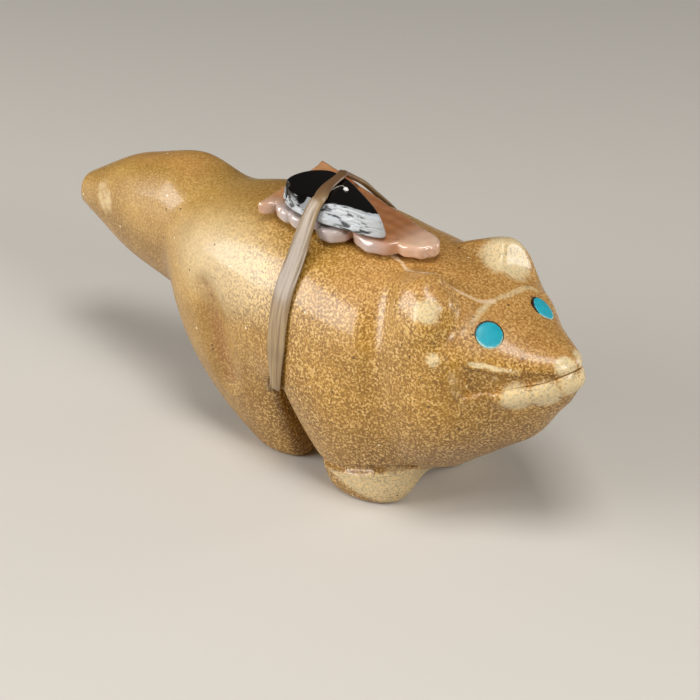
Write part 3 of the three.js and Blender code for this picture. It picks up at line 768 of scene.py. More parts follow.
def strand_tree():
    """A flat strand along a path whose points carry 'wide' and 'thick', shares of its two sizes."""
    tree = bpy.data.node_groups.new("strand along a path", "GeometryNodeTree")
    tree.interface.new_socket("Path", in_out="INPUT", socket_type="NodeSocketGeometry")
    for name, size in STRAND_INPUTS.items():
        socket = tree.interface.new_socket(name, in_out="INPUT", socket_type="NodeSocketFloat")
        socket.default_value = size * MM
    tree.interface.new_socket("Finish", in_out="INPUT", socket_type="NodeSocketMaterial")
    tree.interface.new_socket("Strand", in_out="OUTPUT", socket_type="NodeSocketGeometry")
    given = add(tree, "NodeGroupInput").outputs
    here = add(tree, "GeometryNodeInputPosition")

    # The path and a round section both note where they are, and a tube is swept from the two.
    line = add(tree, "GeometryNodeMeshToCurve", {"Mesh": given["Path"]})
    line = add(tree, "GeometryNodeResampleCurve", {"Curve": line, "Length": given["Step"]}, mode="LENGTH")
    run = add(tree, "GeometryNodeSplineParameter").outputs["Length"]
    for name, value in (("spot", here), ("way", add(tree, "GeometryNodeInputTangent")), ("run", run)):
        line = add(tree, "GeometryNodeStoreNamedAttribute", {"Geometry": line, "Name": name, "Value": value},
                   data_type=CARRIED[name])
    section = add(tree, "GeometryNodeCurvePrimitiveCircle", {"Resolution": STRAND_SIDES, "Radius": 0.5})
    section = add(tree, "GeometryNodeStoreNamedAttribute",
                  {"Geometry": section, "Name": "section", "Value": here}, data_type=CARRIED["section"])
    strand = add(tree, "GeometryNodeCurveToMesh",
                 {"Curve": line, "Profile Curve": section, "Fill Caps": True})

    # Each point of the tube reads them back, with its place across the strand and its rise above it.
    part = dict(given.items())
    for name, kind in CARRIED.items():
        part[name] = add(tree, "GeometryNodeInputNamedAttribute", {"Name": name}, data_type=kind)
    part["across"], part["rise"], _ = add(tree, "ShaderNodeSeparateXYZ", {0: part["section"]}).outputs
    for name, first, operation, second in (
        ("across", "across", "MULTIPLY", "Width"), ("across", "across", "MULTIPLY", "wide"),
        ("rise", "rise", "MULTIPLY", "Thickness"), ("rise", "rise", "MULTIPLY", "thick"),
        ("by fibre", "across", "DIVIDE", "Fibre width"), ("by length", "run", "DIVIDE", "Wander length"),
    ):
        part[name] = add(tree, "ShaderNodeMath", {0: part[first], 1: part[second]}, operation=operation)

    # Fibres lift and sink the face, and the whole strand wanders a little to either side.
    for name, start, spot, detail, reach in (
        ("lifted", "rise", (part["by fibre"], part["by length"], STRAND_SEED), 1.0, "Fibre depth"),
        ("aside", "across", (part["by length"], STRAND_SEED, 0.0), 0.0, "Wander"),
    ):
        spot = add(tree, "ShaderNodeCombineXYZ", dict(enumerate(spot)))
        noise = add(tree, "ShaderNodeTexNoise", {"Vector": spot, "Scale": 1.0, "Detail": detail})
        noise = add(tree, "ShaderNodeMath", {0: noise, 1: 0.5}, operation="SUBTRACT")
        inputs = {0: noise, 1: part[reach], 2: part[start]}
        part[name] = add(tree, "ShaderNodeMath", inputs, operation="MULTIPLY_ADD")
    out = add(tree, "ShaderNodeVectorMath", {0: part["way"], 1: part["broad"]}, operation="CROSS_PRODUCT")
    out = add(tree, "ShaderNodeVectorMath", {0: out}, operation="NORMALIZE")
    place = part["spot"]
    for way, reach in ((part["broad"], part["aside"]), (out, part["lifted"])):
        step = add(tree, "ShaderNodeVectorMath", {0: way, "Scale": reach}, operation="SCALE")
        place = add(tree, "ShaderNodeVectorMath", {0: place, 1: step}, operation="ADD")
    strand = add(tree, "GeometryNodeSetPosition", {"Geometry": strand, "Position": place})
    strand = add(tree, "GeometryNodeStoreNamedAttribute",
                 {"Geometry": strand, "Name": "across", "Value": part["across"]}, data_type="FLOAT")
    strand = add(tree, "GeometryNodeSetShadeSmooth", {"Geometry": strand})
    strand = add(tree, "GeometryNodeRealizeInstances", {"Geometry": strand})
    strand = add(tree, "GeometryNodeSetMaterial", {"Geometry": strand, "Material": given["Finish"]})
    add(tree, "NodeGroupOutput", {"Strand": strand})
    return tree


STRAND = strand_tree()
print("the strand's tree has", len(STRAND.nodes), "nodes")


# %% A strand along some points
def strand(name, path, broad, wide, thick, finish, closed=False, **sizes):
    """A strand of sinew along points in millimetres; broad is the direction of its width at each one."""
    count = len(path)
    edges = [(n, (n + 1) % count) for n in range(count if closed else count - 1)]
    mesh = bpy.data.meshes.new(name)
    mesh.from_pydata((np.array(path) * MM).tolist(), edges, [])
    ways = mesh.attributes.new("broad", "FLOAT_VECTOR", "POINT")
    ways.data.foreach_set("vector", np.array(broad, np.float32).ravel())
    obj = in_scene(name, mesh)
    mark(obj, "wide", wide)
    mark(obj, "thick", thick)
    maker = obj.modifiers.new("strand", "NODES")
    maker.node_group = STRAND
    sockets = {item.name: item.identifier for item in STRAND.interface.items_tree if item.in_out == "INPUT"}
    maker[sockets["Finish"]] = finish
    for label, value in sizes.items():
        maker[sockets[label.replace("_", " ")]] = value * MM
    obj.data = bpy.data.meshes.new_from_object(obj.evaluated_get(bpy.context.evaluated_depsgraph_get()))
    obj.modifiers.clear()
    print(name, len(obj.data.vertices), "points,", len(obj.data.polygons), "faces")
    return obj


# %% [markdown]
# ## Finishes
#
# Colours are given as the hex values seen on a lit surface and turned to linear light by one function.
# Patterns are measured in millimetres: a noise's scale is one over the size of its spots.

# %% Colours and a bare material
def linear(code):
    """A colour for a socket from an sRGB hex value."""
    parts = [int(code[n:n + 2], 16) / 255 for n in (1, 3, 5)]
    return (*[c / 12.92 if c <= 0.04045 else ((c + 0.055) / 1.055) ** 2.4 for c in parts], 1)


def finish(name, **constants):
    """A new material: its tree and its shader, with plain values on the shader's own sockets."""
    material = bpy.data.materials.new(name)
    material.use_nodes = True
    shader = material.node_tree.nodes["Principled BSDF"]
    for label, value in constants.items():
        shader.inputs[label.replace("_", " ")].default_value = value
    return material, material.node_tree, shader


def per_mm(size):
    """The scale of a pattern whose spots are so many millimetres wide."""
    return 1 / (size * MM)


# %% [markdown]
# The stone is one kind all over, but its colour drifts: pale tan on the tail and haunches, golden brown on
# the chest and head, amber along the crown. Painted light is laid on as well: pale patches are painted
# highlights, a paler zone on each haunch is a painted sheen, and darker blotches and the low, creased and
# downward parts are painted shade. Those places are written on the mesh as numbers from 0 to 1, so the
# colour follows the carving. The fine speckle is the same everywhere and only its strength changes.

# %% Places on the stone
# Seen from above: a thin pale vein along the right of the crown, and a pale line across the brow that is a
# painted highlight.
VEIN = [(13.6, -2.9), (15.2, -3.3), (16.8, -4.2), (18.4, -5.0), (20.0, -5.3), (21.2, -5.1), (22.2, -4.1),
        (23.4, -3.1), (24.9, -2.2), (25.5, -1.0)]
BROW = [(25.9, -5.0), (25.6, -3.4), (25.4, -1.1), (25.7, 1.3), (25.5, 4.7), (25.9, 5.6)]
# Painted highlights, as pale patches on the muzzle, the lips, by the eyes, on the ears, the fore paws, the
# right
# cheek and the tail: the middle, the size and the strength of each, on both sides alike or on one side only.
PAINTED_HIGHLIGHTS_TWICE = [((34.0, 3.0, 18.0), 2.6, 1), ((35.2, 0.8, 19.2), 2.0, 1), ((31.4, 4.4, 17.4), 2.5, 1),
              ((34.9, 1.2, 21.0), 1.7, 1), ((27.4, 5.4, 24.4), 1.2, 1), ((17.8, 6.0, 3.2), 3.4, 1),
              ((29.5, 5.8, 19.2), 1.0, 1)]
PAINTED_HIGHLIGHTS_ONCE = [((22.0, 5.4, 26.4), 4.2, 1), ((22.7, -8.2, 25.6), 2.1, 0.9), ((24.4, -9.1, 21.2), 1.2, 0.8),
             ((-28.6, -3.5, 20.8), 2.8, 0.5)]
# A painted highlight along the rear edge of each cheek hollow.
PAINTED_HIGHLIGHT_STREAK = [(26.1, 8.2, 19.8), (26.5, 8.1, 18.2), (27.2, 7.7, 16.6)]
# Seen from the side: the painted sheen of the haunch, a paler zone that stands for the side light's broad
# highlight, as its middle and half its size. The fore paw is painted pale, as a highlight, between its crease
# and a line, given as a point on it and the way that it faces.
PAINTED_SHEEN_ZONE = ((-4, 22), (13, 6.5))
PAW = ((9.7, 2.9), (0.38, 0.93))
BRIDGE = (30.5, 0, 22.6)
marks = per_vertex(body, "co") / MM - SHIFT
up = per_vertex(body, "normal")[:, 2]
folded = np.column_stack([marks[:, 0], np.abs(marks[:, 1]), marks[:, 2]])
x, y, z = marks.T
in_plan = marks[:, :2]
from_side = folded[:, [0, 2]]
rear = ease(x, 4, -8)
mark(body, "tail_end", rear)
# Painted sheen: a paler zone on each side of the haunch stands for the broad highlight of the side light.
painted_sheen = np.linalg.norm((from_side - PAINTED_SHEEN_ZONE[0]) / PAINTED_SHEEN_ZONE[1], axis=1)
mark(body, "painted_sheen", ease(painted_sheen, 1, 0.35) * ease(np.abs(y), 2.5, 6))
# Painted shade: darker blotches in the thigh's hollow, along the top of the back and on the muzzle's bridge,
# broken up by a noise in the material.
trough = from_line(from_side, [(a, c) for a, _, c in THIGH])[0]
trough = ease(trough, 1.7, 0.5) * ease(z, 6, 9)
spine = ease(np.abs(y), 6.8, 3.0) * ease(up, 0.4, 0.85) * ease(x, -13, -9) * ease(x, 25.5, 21)
bridge = ease(np.linalg.norm(marks - BRIDGE, axis=1), 4.5, 2)
mark(body, "painted_shade_blotches", np.clip(0.25 * spine + 0.35 * bridge + 0.9 * trough, 0, 1))
crown = ease(up, 0.2, 0.8) * ease(x, 6, 14)
tail_top = ease(up, 0.8, 0.99) * ease(x, -13, -17)
mark(body, "amber", np.clip(crown + 0.8 * tail_top, 0, 1))
# Painted highlights: the pale patches, the fore paw's face, the brow line, the streak behind each cheek and
# the cheek ridge.
pale = np.zeros(len(marks))
for points, patches in ((folded, PAINTED_HIGHLIGHTS_TWICE), (marks, PAINTED_HIGHLIGHTS_ONCE)):
    for middle, size, share in patches:
        away = np.linalg.norm(points - middle, axis=1)
        pale = np.maximum(pale, share * ease(away, size, 0.35 * size))
paw = ease((from_side - PAW[0]) @ PAW[1], -0.8, 0.6)
below_crease = z - np.interp(x, *np.array(CREASE)[:, [0, 2]].T)
pale = np.maximum(pale, 0.9 * paw * ease(below_crease, -0.3, -0.9) * ease(x, 7.5, 9))
brow = from_line(in_plan, BROW)[0] + 5 * ease(up, 0.35, 0.1)
pale = np.maximum(pale, 0.6 * ease(brow, 0.6, 0.1))
pale = np.maximum(pale, 0.35 * ease(from_line(folded, PAINTED_HIGHLIGHT_STREAK)[0], 0.9, 0.2))
ridge = ease(from_line(folded, RIDGE)[0], 0.7, 0.45) * ease(up, 0.0, 0.35)
mark(body, "pale", np.maximum(pale, 0.9 * ridge))
mark(body, "speckle", 1 - 0.65 * rear - 0.3 * ease(up, 0.5, 0.9) * (1 - rear))
mark(body, "vein", from_line(in_plan, VEIN)[0] + 5 * ease(up, 0.35, 0.1))
# Painted shade: darker low down, on faces turned down, in the notch, in the paw creases and under the tail.
notch_dark = ease(notch(folded), 1.2, 0.1) * ease(z, 13, 9)
in_crease = ease(from_line(folded, CREASE)[0], 1.1, 0.6)
under_tail = 0.9 * ease(z, 21.5, 17.5) * ease(x, -12, -17)
painted_shade_places = 0.7 * ease(z, 16, 4) + 0.8 * ease(up, 0.2, -0.6) + notch_dark + in_crease + under_tail
mark(body, "low", np.clip(painted_shade_places - 0.8 * pale, 0, 1))
print("on the stone:", ", ".join(item.name for item in body.data.attributes if item.data_type == "FLOAT"))

# %% Polished tan stone
# Travertine or picture-stone, ground and waxed: a dense warm stone whose fine grains show as short pale
# strokes on brown, under a gloss that gives long soft highlights.
# Each noise has the size of its spots in millimetres, its detail and its distortion.
STONE_NOISES = {"drift": (7.0, 2.0, 0.0), "grains": (0.25, 1.0, 0.5), "cluster": (1.6, 1.0, 0.0),
                "shade_blotch": (2.6, 4.0, 0.0), "painted_highlight_patches": (0.9, 4.0, 0.0), "wobble": (2.5, 3.0, 0.0),
                "worn": (2.2, 2.0, 0.0)}
PIT = 1.15
tan_stone, tree, shader = finish("polished tan stone", Roughness=0.48, IOR=1.5, Coat_Weight=0.42,
                                 Coat_Roughness=0.17)
spot = add(tree, "ShaderNodeTexCoord").outputs["Object"]
part = {}
for name in ("tail_end", "amber", "painted_sheen", "painted_shade_blotches", "pale", "speckle", "vein", "low"):
    part[name] = add(tree, "ShaderNodeAttribute", attribute_name=name).outputs["Fac"]
for name, (size, detail, bend) in STONE_NOISES.items():
    inputs = {"Vector": spot, "Scale": per_mm(size), "Detail": detail, "Distortion": bend}
    part[name] = add(tree, "ShaderNodeTexNoise", inputs)
# A few cells of a Voronoi pattern hold a dark pit at their middle, and fewer a pale fleck.
pits = add(tree, "ShaderNodeTexVoronoi", {"Vector": spot, "Scale": per_mm(PIT), "Randomness": 1.0})
chosen = add(tree, "ShaderNodeSeparateColor", {0: pits.outputs["Color"]}).outputs
part["near"] = pits.outputs["Distance"]
for name, channel, rare in (("pit", 0, 0.8), ("fleck", 1, 0.93)):
    part[name] = add(tree, "ShaderNodeMath", {0: chosen[channel], 1: rare}, operation="GREATER_THAN")
# The pale patches, which are painted highlights, and the vein are places whose edge a noise breaks up.
for name, noise, share, place in (("painted_highlight_patches", "painted_highlight_patches", 0.8, "pale"), ("vein", "wobble", 0.6, "vein")):
    part[name] = add(tree, "ShaderNodeMath", {0: part[noise], 1: share, 2: part[place]},
                     operation="MULTIPLY_ADD")
# Each mask runs between two values of what it is made from, to its own least and most.
for name, source, start, end, least, most, curve in (
    ("drift", "drift", 0.35, 0.65, 0.0, 1.0, "SMOOTHSTEP"),
    ("cluster", "cluster", 0.3, 0.7, 0.75, 1.2, "LINEAR"),
    ("light", "grains", 0.51, 0.63, 0.0, 1.0, "SMOOTHSTEP"),
    ("dark", "grains", 0.5, 0.38, 0.0, 1.0, "SMOOTHSTEP"),
    ("shade_blotch", "shade_blotch", 0.38, 0.58, 0.05, 0.9, "LINEAR"),
    ("painted_highlight_patches", "painted_highlight_patches", 0.55, 1.3, 0.0, 0.85, "SMOOTHSTEP"),
    ("clean", "painted_highlight_patches", 0.0, 1.0, 0.6, 0.3, "LINEAR"),
    ("vein", "vein", 0.6, 0.42, 0.0, 1.0, "SMOOTHSTEP"),
    ("near", "near", 0.15, 0.08, 0.0, 1.0, "LINEAR"),
):
    inputs = {0: part[source], 1: start, 2: end, 3: least, 4: most}
    part[name] = add(tree, "ShaderNodeMapRange", inputs, interpolation_type=curve)
# Masks are weakened by one another, or by a plain share.
for name, first, second in (
    ("strength", "cluster", "speckle"), ("light", "light", "strength"), ("light", "light", 0.55),
    ("dark", "dark", "strength"), ("dark", "dark", "clean"), ("painted_sheen", "painted_sheen", 0.55),
    ("shade_blotch", "shade_blotch", "painted_shade_blotches"), ("low", "low", 0.45), ("vein", "vein", 0.75), ("pit", "near", "pit"),
    ("fleck", "near", "fleck"),
):
    inputs = {0: part[first], 1: part.get(second, second)}
    part[name] = add(tree, "ShaderNodeMath", inputs, operation="MULTIPLY")
# The ground colour drifts between two tones, other ones at the tail end, and the rest is laid over it.
for name, deep, bright in (("golden", "#9A6C14", "#AE7E24"), ("tan", "#9C7430", "#B08944")):
    inputs = {0: part["drift"], 6: linear(deep), 7: linear(bright)}
    part[name] = add(tree, "ShaderNodeMix", inputs, data_type="RGBA")
inputs = {0: part["tail_end"], 6: part["golden"], 7: part["tan"]}
color = add(tree, "ShaderNodeMix", inputs, data_type="RGBA")
# Of these layers, the sheen and the pale patches are painted highlights, and the low places and the dark
# blotches are painted shade.
for name, tint in (("amber", "#B88642"), ("painted_sheen", "#DCC79A"), ("shade_blotch", "#945E18"), ("painted_highlight_patches", "#E4D1A4"),
                   ("low", "#6E4E22"), ("dark", "#6B4818"), ("light", "#EBC47E"), ("pit", "#4A2F12"),
                   ("fleck", "#F2DFB8"), ("vein", "#E2C49C")):
    color = add(tree, "ShaderNodeMix", {0: part[name], 6: color, 7: linear(tint)}, data_type="RGBA")
give(tree, color, shader.inputs["Base Color"])
bump = add(tree, "ShaderNodeBump", {"Height": part["grains"], "Strength": 0.7, "Distance": 0.05 * MM})
bump = add(tree, "ShaderNodeBump",
           {"Height": part["worn"], "Normal": bump, "Strength": 0.5, "Distance": 0.06 * MM})
give(tree, bump, shader.inputs["Normal"])
print("the stone's material has", len(tree.nodes), "nodes")

# %% Turquoise, and the glue round it
# A cabochon-hard blue-green stone, polished flat: nearly one colour, with faint paler clouds and a few small
# nicks at its rim.
CLOUD = 0.8
NICK = 0.22
turquoise, tree, shader = finish("polished turquoise", Roughness=0.36, IOR=1.5, Specular_IOR_Level=0.3)
spot = add(tree, "ShaderNodeTexCoord").outputs["Object"]
chipped = add(tree, "ShaderNodeAttribute", attribute_name="chipped").outputs["Fac"]
clouds = add(tree, "ShaderNodeTexNoise", {"Vector": spot, "Scale": per_mm(CLOUD), "Detail": 3.0})
nicks = add(tree, "ShaderNodeTexNoise", {"Vector": spot, "Scale": per_mm(NICK), "Detail": 1.0})
nicks = add(tree, "ShaderNodeMath", {0: nicks, 1: 0.3, 2: chipped}, operation="MULTIPLY_ADD")
nicks = add(tree, "ShaderNodeMapRange", {0: nicks, 1: 1.0, 2: 1.08})
color = linear("#0C8CA2")
for mask, tint in ((clouds, "#2FB4C2"), (nicks, "#A9CFC6")):
    color = add(tree, "ShaderNodeMix", {0: mask, 6: color, 7: linear(tint)}, data_type="RGBA")
give(tree, color, shader.inputs["Base Color"])
# Epoxy darkened with stone dust, which dries to a brown-black line with some shine. Its dark also stands for
# painted shade in the top of each socket.
glue, _, _ = finish("dark epoxy", Roughness=0.3, Base_Color=linear("#2A180C"))

# %% Tumbled pink shell
# Conch or spiny-oyster shell, tumbled until wet-looking: pink with faint growth bands, greyer where the
# chipped lobes are thin, paler towards its tip and tanner at its base.
BAND = 1.4
BAND_BEND = 6
SHELL_WAVE = 1.6
pink_shell, tree, shader = finish("tumbled pink shell", Roughness=0.14, IOR=1.53, Coat_Weight=0.7,
                                  Coat_Roughness=0.05, Subsurface_Weight=0.15, Subsurface_Scale=0.8 * MM)
spot = add(tree, "ShaderNodeTexCoord").outputs["Object"]
along, across = [add(tree, "ShaderNodeAttribute", attribute_name=name).outputs["Fac"]
                 for name in ("along", "across")]
bent = add(tree, "ShaderNodeTexNoise", {"Vector": spot, "Scale": per_mm(BAND_BEND), "Detail": 2.0})
bent = add(tree, "ShaderNodeMath", {0: bent, 1: 2.5, 2: across}, operation="MULTIPLY_ADD")
bent = add(tree, "ShaderNodeMath", {0: bent, 1: 2 * math.pi / BAND}, operation="MULTIPLY")
bands = add(tree, "ShaderNodeMath", {0: bent}, operation="SINE")
masks = [add(tree, "ShaderNodeMapRange", {0: bands, 1: -1.0, 2: 1.0})]
for place, start, end, most in ((across, -2.6, -4.6, 1.0), (along, 16.0, 20.5, 1.0), (along, 5.0, 1.0, 0.8)):
    inputs = {0: place, 1: start, 2: end, 4: most}
    masks.append(add(tree, "ShaderNodeMapRange", inputs, interpolation_type="SMOOTHSTEP"))
color = linear("#A2663A")
for mask, tint in zip(masks, ("#B07448", "#B9AAA4", "#D3AF94", "#BE8A5C")):
    color = add(tree, "ShaderNodeMix", {0: mask, 6: color, 7: linear(tint)}, data_type="RGBA")
give(tree, color, shader.inputs["Base Color"])
ripple = add(tree, "ShaderNodeTexNoise", {"Vector": spot, "Scale": per_mm(SHELL_WAVE), "Detail": 1.0})
ripple = add(tree, "ShaderNodeBump", {"Height": ripple, "Strength": 0.6, "Distance": 0.08 * MM})
give(tree, ripple, shader.inputs["Normal"])

# %% Polished black stone
# Jet-black stone with a mirror polish on top. Its struck near side is frosted with fine cracks and painted
# grey-white, partly for the frost and partly as a painted reflection of the side light on that bevel, crossed
# by a few dark lines. The cracks run along the point, so their pattern is stretched that way.
CRACKS_PER_MM = (0.7, 2.2, 2.2)
black_stone, tree, shader = finish("polished black stone", IOR=1.5)
rim, near_side, height, along = [add(tree, "ShaderNodeAttribute", attribute_name=name).outputs["Fac"]
                                 for name in ("rim", "near_side", "height", "along")]
streaks = add(tree, "ShaderNodeCombineXYZ", {0: along, 1: rim, 2: height})
streaks = add(tree, "ShaderNodeVectorMath", {0: streaks, 1: CRACKS_PER_MM}, operation="MULTIPLY")
inputs = {"Vector": streaks, "Scale": 1.0, "Detail": 3.0, "Distortion": 0.4}
cracks = add(tree, "ShaderNodeTexNoise", inputs)
ragged = add(tree, "ShaderNodeMath", {0: cracks, 1: 0.8, 2: rim}, operation="MULTIPLY_ADD")
inward = add(tree, "ShaderNodeMath", {0: near_side, 1: -1.0, 2: 1.0}, operation="MULTIPLY_ADD")
ragged = add(tree, "ShaderNodeMath", {0: ragged, 1: inward}, operation="ADD")
frost_and_reflection = add(tree, "ShaderNodeMapRange", {0: ragged, 1: 1.66, 2: 1.5}, interpolation_type="SMOOTHSTEP")
lines = add(tree, "ShaderNodeMapRange", {0: cracks, 1: 0.36, 2: 0.47})
color = add(tree, "ShaderNodeMix", {0: lines, 6: linear("#25282B"), 7: linear("#B2B6B8")}, data_type="RGBA")
color = add(tree, "ShaderNodeMix", {0: frost_and_reflection, 6: linear("#050506"), 7: color}, data_type="RGBA")
give(tree, color, shader.inputs["Base Color"])
rough = add(tree, "ShaderNodeMapRange", {0: frost_and_reflection, 3: 0.1, 4: 0.3})
give(tree, rough, shader.inputs["Roughness"])
shaken = add(tree, "ShaderNodeMath", {0: frost_and_reflection, 1: 0.6}, operation="MULTIPLY")
ripple = add(tree, "ShaderNodeBump", {"Height": cracks, "Strength": shaken, "Distance": 0.25 * MM})
give(tree, ripple, shader.inputs["Normal"])

# %% Stretched sinew
# A dried tendon strip, waxed and drawn tight: horn-like and half clear, tan-grey with dark grain lines
# along it, browner where it is bunched over the black point.
GRAIN = 0.3
GRAIN_LENGTH = 9
sinew, tree, shader = finish("stretched sinew", Roughness=0.38, IOR=1.5, Coat_Weight=0.3, Coat_Roughness=0.2)
across, run, thickness = [add(tree, "ShaderNodeAttribute", attribute_name=name).outputs["Fac"]
                          for name in ("across", "run", "thick")]
crosswise = add(tree, "ShaderNodeMath", {0: across, 1: per_mm(GRAIN)}, operation="MULTIPLY")
lengthwise = add(tree, "ShaderNodeMath", {0: run, 1: per_mm(GRAIN_LENGTH)}, operation="MULTIPLY")
grain_spot = add(tree, "ShaderNodeCombineXYZ", {0: crosswise, 1: lengthwise})
grain = add(tree, "ShaderNodeTexNoise", {"Vector": grain_spot, "Scale": 1.0, "Detail": 3.0})
fibres = add(tree, "ShaderNodeMapRange", {0: grain, 1: 0.33, 2: 0.62}, interpolation_type="SMOOTHSTEP")
tone_spot = add(tree, "ShaderNodeCombineXYZ", {0: lengthwise, 1: 3.0})
tone = add(tree, "ShaderNodeTexNoise", {"Vector": tone_spot, "Scale": 1.8, "Detail": 1.0})
tone = add(tree, "ShaderNodeMapRange", {0: tone, 1: 0.4, 2: 0.65, 4: 0.55})
bunched = add(tree, "ShaderNodeMapRange", {0: thickness, 1: 1.35, 2: 1.75})
color = linear("#765B3C")
for mask, tint in ((fibres, "#9C835D"), (tone, "#6C5A44"), (bunched, "#6A4C30")):
    color = add(tree, "ShaderNodeMix", {0: mask, 6: color, 7: linear(tint)}, data_type="RGBA")
give(tree, color, shader.inputs["Base Color"])
grain = add(tree, "ShaderNodeBump", {"Height": fibres, "Strength": 0.35, "Distance": 0.04 * MM})
give(tree, grain, shader.inputs["Normal"])
# Monofilament: nearly clear, so only its shine shows. The drop that holds it is white craft glue.
clear_line, _, _ = finish("clear thread", Base_Color=linear("#D8D0C4"), Roughness=0.15,
                          Transmission_Weight=0.6)
white_glue, _, _ = finish("white craft glue", Base_Color=linear("#E9E8E2"), Roughness=0.3)

# %% The tie's route
# Round the animal in degrees from its left side, over the top, and how far forward the strand lies there.
ROUTE_AT = [(-90, 3.4), (-60, 3.4), (-20, 3.2), (0, 3.2), (50, 3.4), (75, 4.2), (91, 4.9), (98, 4.9),
            (106, 5.9), (114, 6.6), (123, 6.6), (132, 6.2), (140, 5.7), (148, 5.35), (160, 5.15),
            (175, 5.1), (185, 5.0), (194, 4.65), (202, 4.1), (210, 3.6), (218, 3.35), (240, 3.35),
            (270, 3.4)]
ROUTE_MIDDLE = 20
ROUTE_AWAY = 0.32
ROUTE_STEPS = 240
ROUTE_POINTS = 320
ROUTE_EASED = 24
ROUTE_EASED_ALONG = 30
WAIST_FOOT = 9.9
WAIST_REACH = 3
STRIP_REACH = 1.1


def hull_route(pieces):
    """The route of a strand drawn tight round the pieces, from the outermost point on each side."""
    angles = np.radians(np.linspace(-90, 270, ROUTE_STEPS, endpoint=False))
    where = np.radians([a for a, _ in ROUTE_AT])
    route_x = np.interp(angles, where, [x for _, x in ROUTE_AT]) + SHIFT[0]
    marks = np.concatenate(pieces)
    marks = marks[(marks[:, 2] > WAIST_FOOT) & (np.abs(marks[:, 0] - route_x.mean()) < WAIST_REACH)]
    route = []
    for angle, x in zip(angles, route_x):
        near = marks[np.abs(marks[:, 0] - x) < STRIP_REACH]
        out = np.array([0, math.cos(angle), math.sin(angle)])
        touched = near[np.argmax(near @ out)] + ROUTE_AWAY * out
        route.append((x, touched[1], touched[2]))
    return np.array(route)


def evenly(points, count, closed=True):
    """The same line with evenly spaced points."""
    loop = np.concatenate([points, points[:1]]) if closed else np.array(points, float)
    run = np.concatenate([[0], np.cumsum(np.linalg.norm(np.diff(loop, axis=0), axis=1))])
    at = np.linspace(0, run[-1], count, endpoint=not closed)
    return np.column_stack([np.interp(at, run, loop[:, k]) for k in range(3)])


def softened(points, rounds):
    """A closed line with its corners eased, as a stiff strand takes them."""
    for _ in range(rounds):
        points = (np.roll(points, 1, axis=0) + 2 * points + np.roll(points, -1, axis=0)) / 4
    return points


held = [per_vertex(piece, "co") / MM for piece in (body, shell_piece, point_piece)]
route = softened(evenly(hull_route(held), ROUTE_POINTS), ROUTE_EASED)
route[:, 0] = softened(route, ROUTE_EASED_ALONG)[:, 0]
print("strand length", round(float(np.linalg.norm(np.diff(route, axis=0), axis=1).sum()), 1), "mm")

# %% The strand round the waist
route_angle = np.degrees(np.arctan2(route[:, 2] - ROUTE_MIDDLE, route[:, 1])) % 360
# Along the route, in degrees as above: how wide and how thick the strand is there, as shares of its sizes.
STRIP_AT = [0, 20, 50, 75, 98, 108, 125, 140, 160, 196, 206, 214, 224, 270, 305, 325, 360]
STRIP_WIDE = [0.8, 0.7, 0.55, 0.45, 0.5, 0.62, 0.9, 1.1, 1.18, 1.12, 0.88, 0.66, 0.55, 0.55, 0.7, 0.85, 0.8]
STRIP_THICK = [1, 1.1, 1.3, 1.5, 1.9, 1.7, 1.1, 1, 1, 1, 1, 1, 1.1, 1.1, 1.1, 1, 1]
wide = np.interp(route_angle, STRIP_AT, STRIP_WIDE)
thick = np.interp(route_angle, STRIP_AT, STRIP_THICK)
sideways = np.gradient(route, axis=0)
broad = np.tile([1.0, 0, 0], (len(route), 1))
broad -= sideways * ((broad * sideways).sum(1) / (sideways**2).sum(1))[:, None]
broad /= np.linalg.norm(broad, axis=1)[:, None]
tie = strand("sinew_strip", route, broad, wide, thick, sinew, closed=True, Width=2.2, Thickness=0.36)

# %% The knot and the loose ends
KNOT_AT = 13
KNOT_HALF = (0.95, 0.85, 0.3)
KNOT_LIFT = 0.55


def knotted(count=72):
    """Points of an overhand knot that lies flat, each number from -1 to 1."""
    t = np.linspace(0, 2 * math.pi, count, endpoint=False)
    over, sideways = (np.sin(t) + 2 * np.sin(2 * t)) / 3, (np.cos(t) - 2 * np.cos(2 * t)) / 3
    return np.column_stack([over, sideways, -np.sin(3 * t)])


def flat_in(path, normal):
    """The direction of the width at each point of a strand that lies flat against a surface."""
    broad = np.cross(normal, np.gradient(path, axis=0))
    return broad / np.linalg.norm(broad, axis=1)[:, None]


knot_spot = route[np.argmin(np.abs(route_angle - KNOT_AT))]
knot_out = np.array([0, math.cos(math.radians(KNOT_AT)), math.sin(math.radians(KNOT_AT))])
knot_along = np.cross([1, 0, 0], knot_out)
knot_axes = np.array([[1, 0, 0], knot_along, knot_out])
path = (knotted() * KNOT_HALF + (0, 0, KNOT_LIFT)) @ knot_axes + knot_spot
ones = np.ones(len(path))
knot = strand("sinew_knot", path, flat_in(path, knot_out), ones, ones, sinew, closed=True, Width=0.5,
              Thickness=0.3)
END_TAPER = 0.45
ENDS = {"long": [(0.3, 0.5, 0.5), (0.9, -0.6, 0.45), (1.5, -1.9, 0.22), (1.8, -3.3, 0.2)],
        "short": [(-0.3, 0.4, 0.5), (-1.0, -0.2, 0.4), (-1.7, -0.7, 0.25), (-2.3, -0.9, 0.25)]}
loose = []
for name, marks in ENDS.items():
    path = evenly(np.array(marks), 24, closed=False) @ knot_axes + knot_spot
    taper = np.linspace(1, END_TAPER, len(path))
    flat = flat_in(path, knot_out)
    loose.append(strand("sinew_end_" + name, path, flat, taper, taper, sinew, Width=0.55, Thickness=0.2))

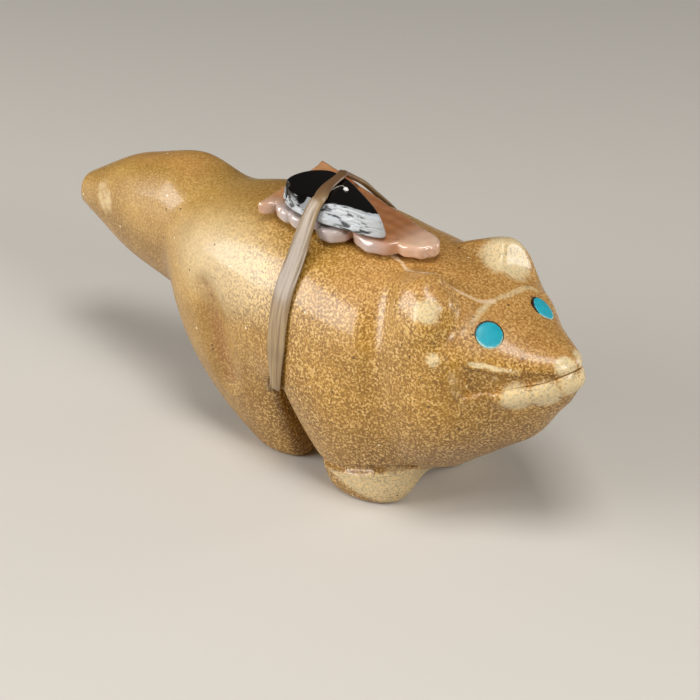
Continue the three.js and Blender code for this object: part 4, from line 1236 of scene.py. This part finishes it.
# %% The clear thread and its drop of glue
# A hair-fine end runs from the strand over the black point, where a drop of white glue holds it.
THREAD = [(5.6, -2.3, 2.2), (5.2, -1.2, 2.3), (4.8, 0, 2.3), (4.7, 1.1, 2.27), (5.1, 1.5, 2.3),
          (5.6, 1.35, 2.25)]
DROP = (5.65, 1.3, 2.2)
DROP_OUTLINE = [(0, -0.1), (0.3, -0.1), (0.3, 0.02), (0.22, 0.16), (0.1, 0.22), (0, 0.23)]
DROP_STRETCH = (1.1, 0.8, 1)
path = placed(evenly(np.array(THREAD), 40, closed=False), point_place)
ones = np.ones(len(path))
thread = strand("clear_thread", path, flat_in(path, knot_out), ones, ones, clear_line, Width=0.12,
                Thickness=0.12, Fibre_depth=0.0, Wander=0.0)
points, faces = turned(DROP_OUTLINE, 24)
drop = as_object("white_glue_drop", placed(points * DROP_STRETCH + DROP, point_place), faces)

# %% [markdown]
# ## Light
#
# The photograph's highlights say where its lights stood: a wide soft box low beside the tail, whose front
# edge ends sharply on the shoulder, a smaller one ahead of the face, and one overhead. A weak one beyond the
# far ear lights its flat front. The floor is pale and plain. The standard view transform keeps the stone's
# amber as saturated as its hex values say.

# %% Soft boxes and floor
world = bpy.data.worlds.new("studio")
world.use_nodes = True
world.node_tree.nodes["Background"].inputs["Color"].default_value = linear("#56504A")
bpy.context.scene.world = world
bpy.context.scene.view_settings.view_transform = "Standard"


def softbox(name, around, above, away, wide, tall, watts):
    """A soft light of so many millimetres that looks at the object."""
    lamp = bpy.data.lights.new(name, "AREA")
    lamp.shape = "RECTANGLE"
    lamp.size, lamp.size_y, lamp.energy = wide * MM, tall * MM, watts
    obj = in_scene(name, lamp)
    way = toward(around, above)
    obj.location = (AIM + way * away) * MM
    obj.rotation_euler = way.to_track_quat("Z", "Y").to_euler()


softbox("side light", -38, 19, 300, 215, 165, 0.9)
softbox("front light", 75, 28, 300, 80, 80, 0.34)
softbox("back light", 146, 11, 300, 110, 60, 0.2)
softbox("top light", 50, 72, 320, 120, 120, 0.5)
FLOOR_HALF = 600.0
corners = np.array([(-1, -1, 0), (1, -1, 0), (1, 1, 0), (-1, 1, 0)]) * FLOOR_HALF
floor = as_object("floor", corners, [(0, 1, 2, 3)])
paper, _, _ = finish("pale paper", Base_Color=linear("#CFCAC1"), Roughness=0.7)
floor.data.materials.append(paper)

# %% Hand each piece to the frame
BODY = "root"
for piece, node, slot_name, material in (
    (body, "stone_body", "stone", tan_stone),
    (shell_piece, "shell_arrowhead", "shell", pink_shell),
    (point_piece, "black_point", "black_stone", black_stone),
    (eyes["right"], "eye_right", "turquoise", turquoise),
    (eyes["left"], "eye_left", "turquoise", turquoise),
    (tie, "sinew_tie", "sinew", None),
    (knot, None, None, None),
    (loose[0], None, None, None),
    (loose[1], None, None, None),
    (thread, None, None, None),
    (drop, None, None, white_glue),
    (glues["right"], None, None, glue),
    (glues["left"], None, None, glue),
):
    if material:
        piece.data.materials.clear()
        piece.data.materials.append(material)
    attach(piece, BODY)
    if node:
        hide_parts(node)
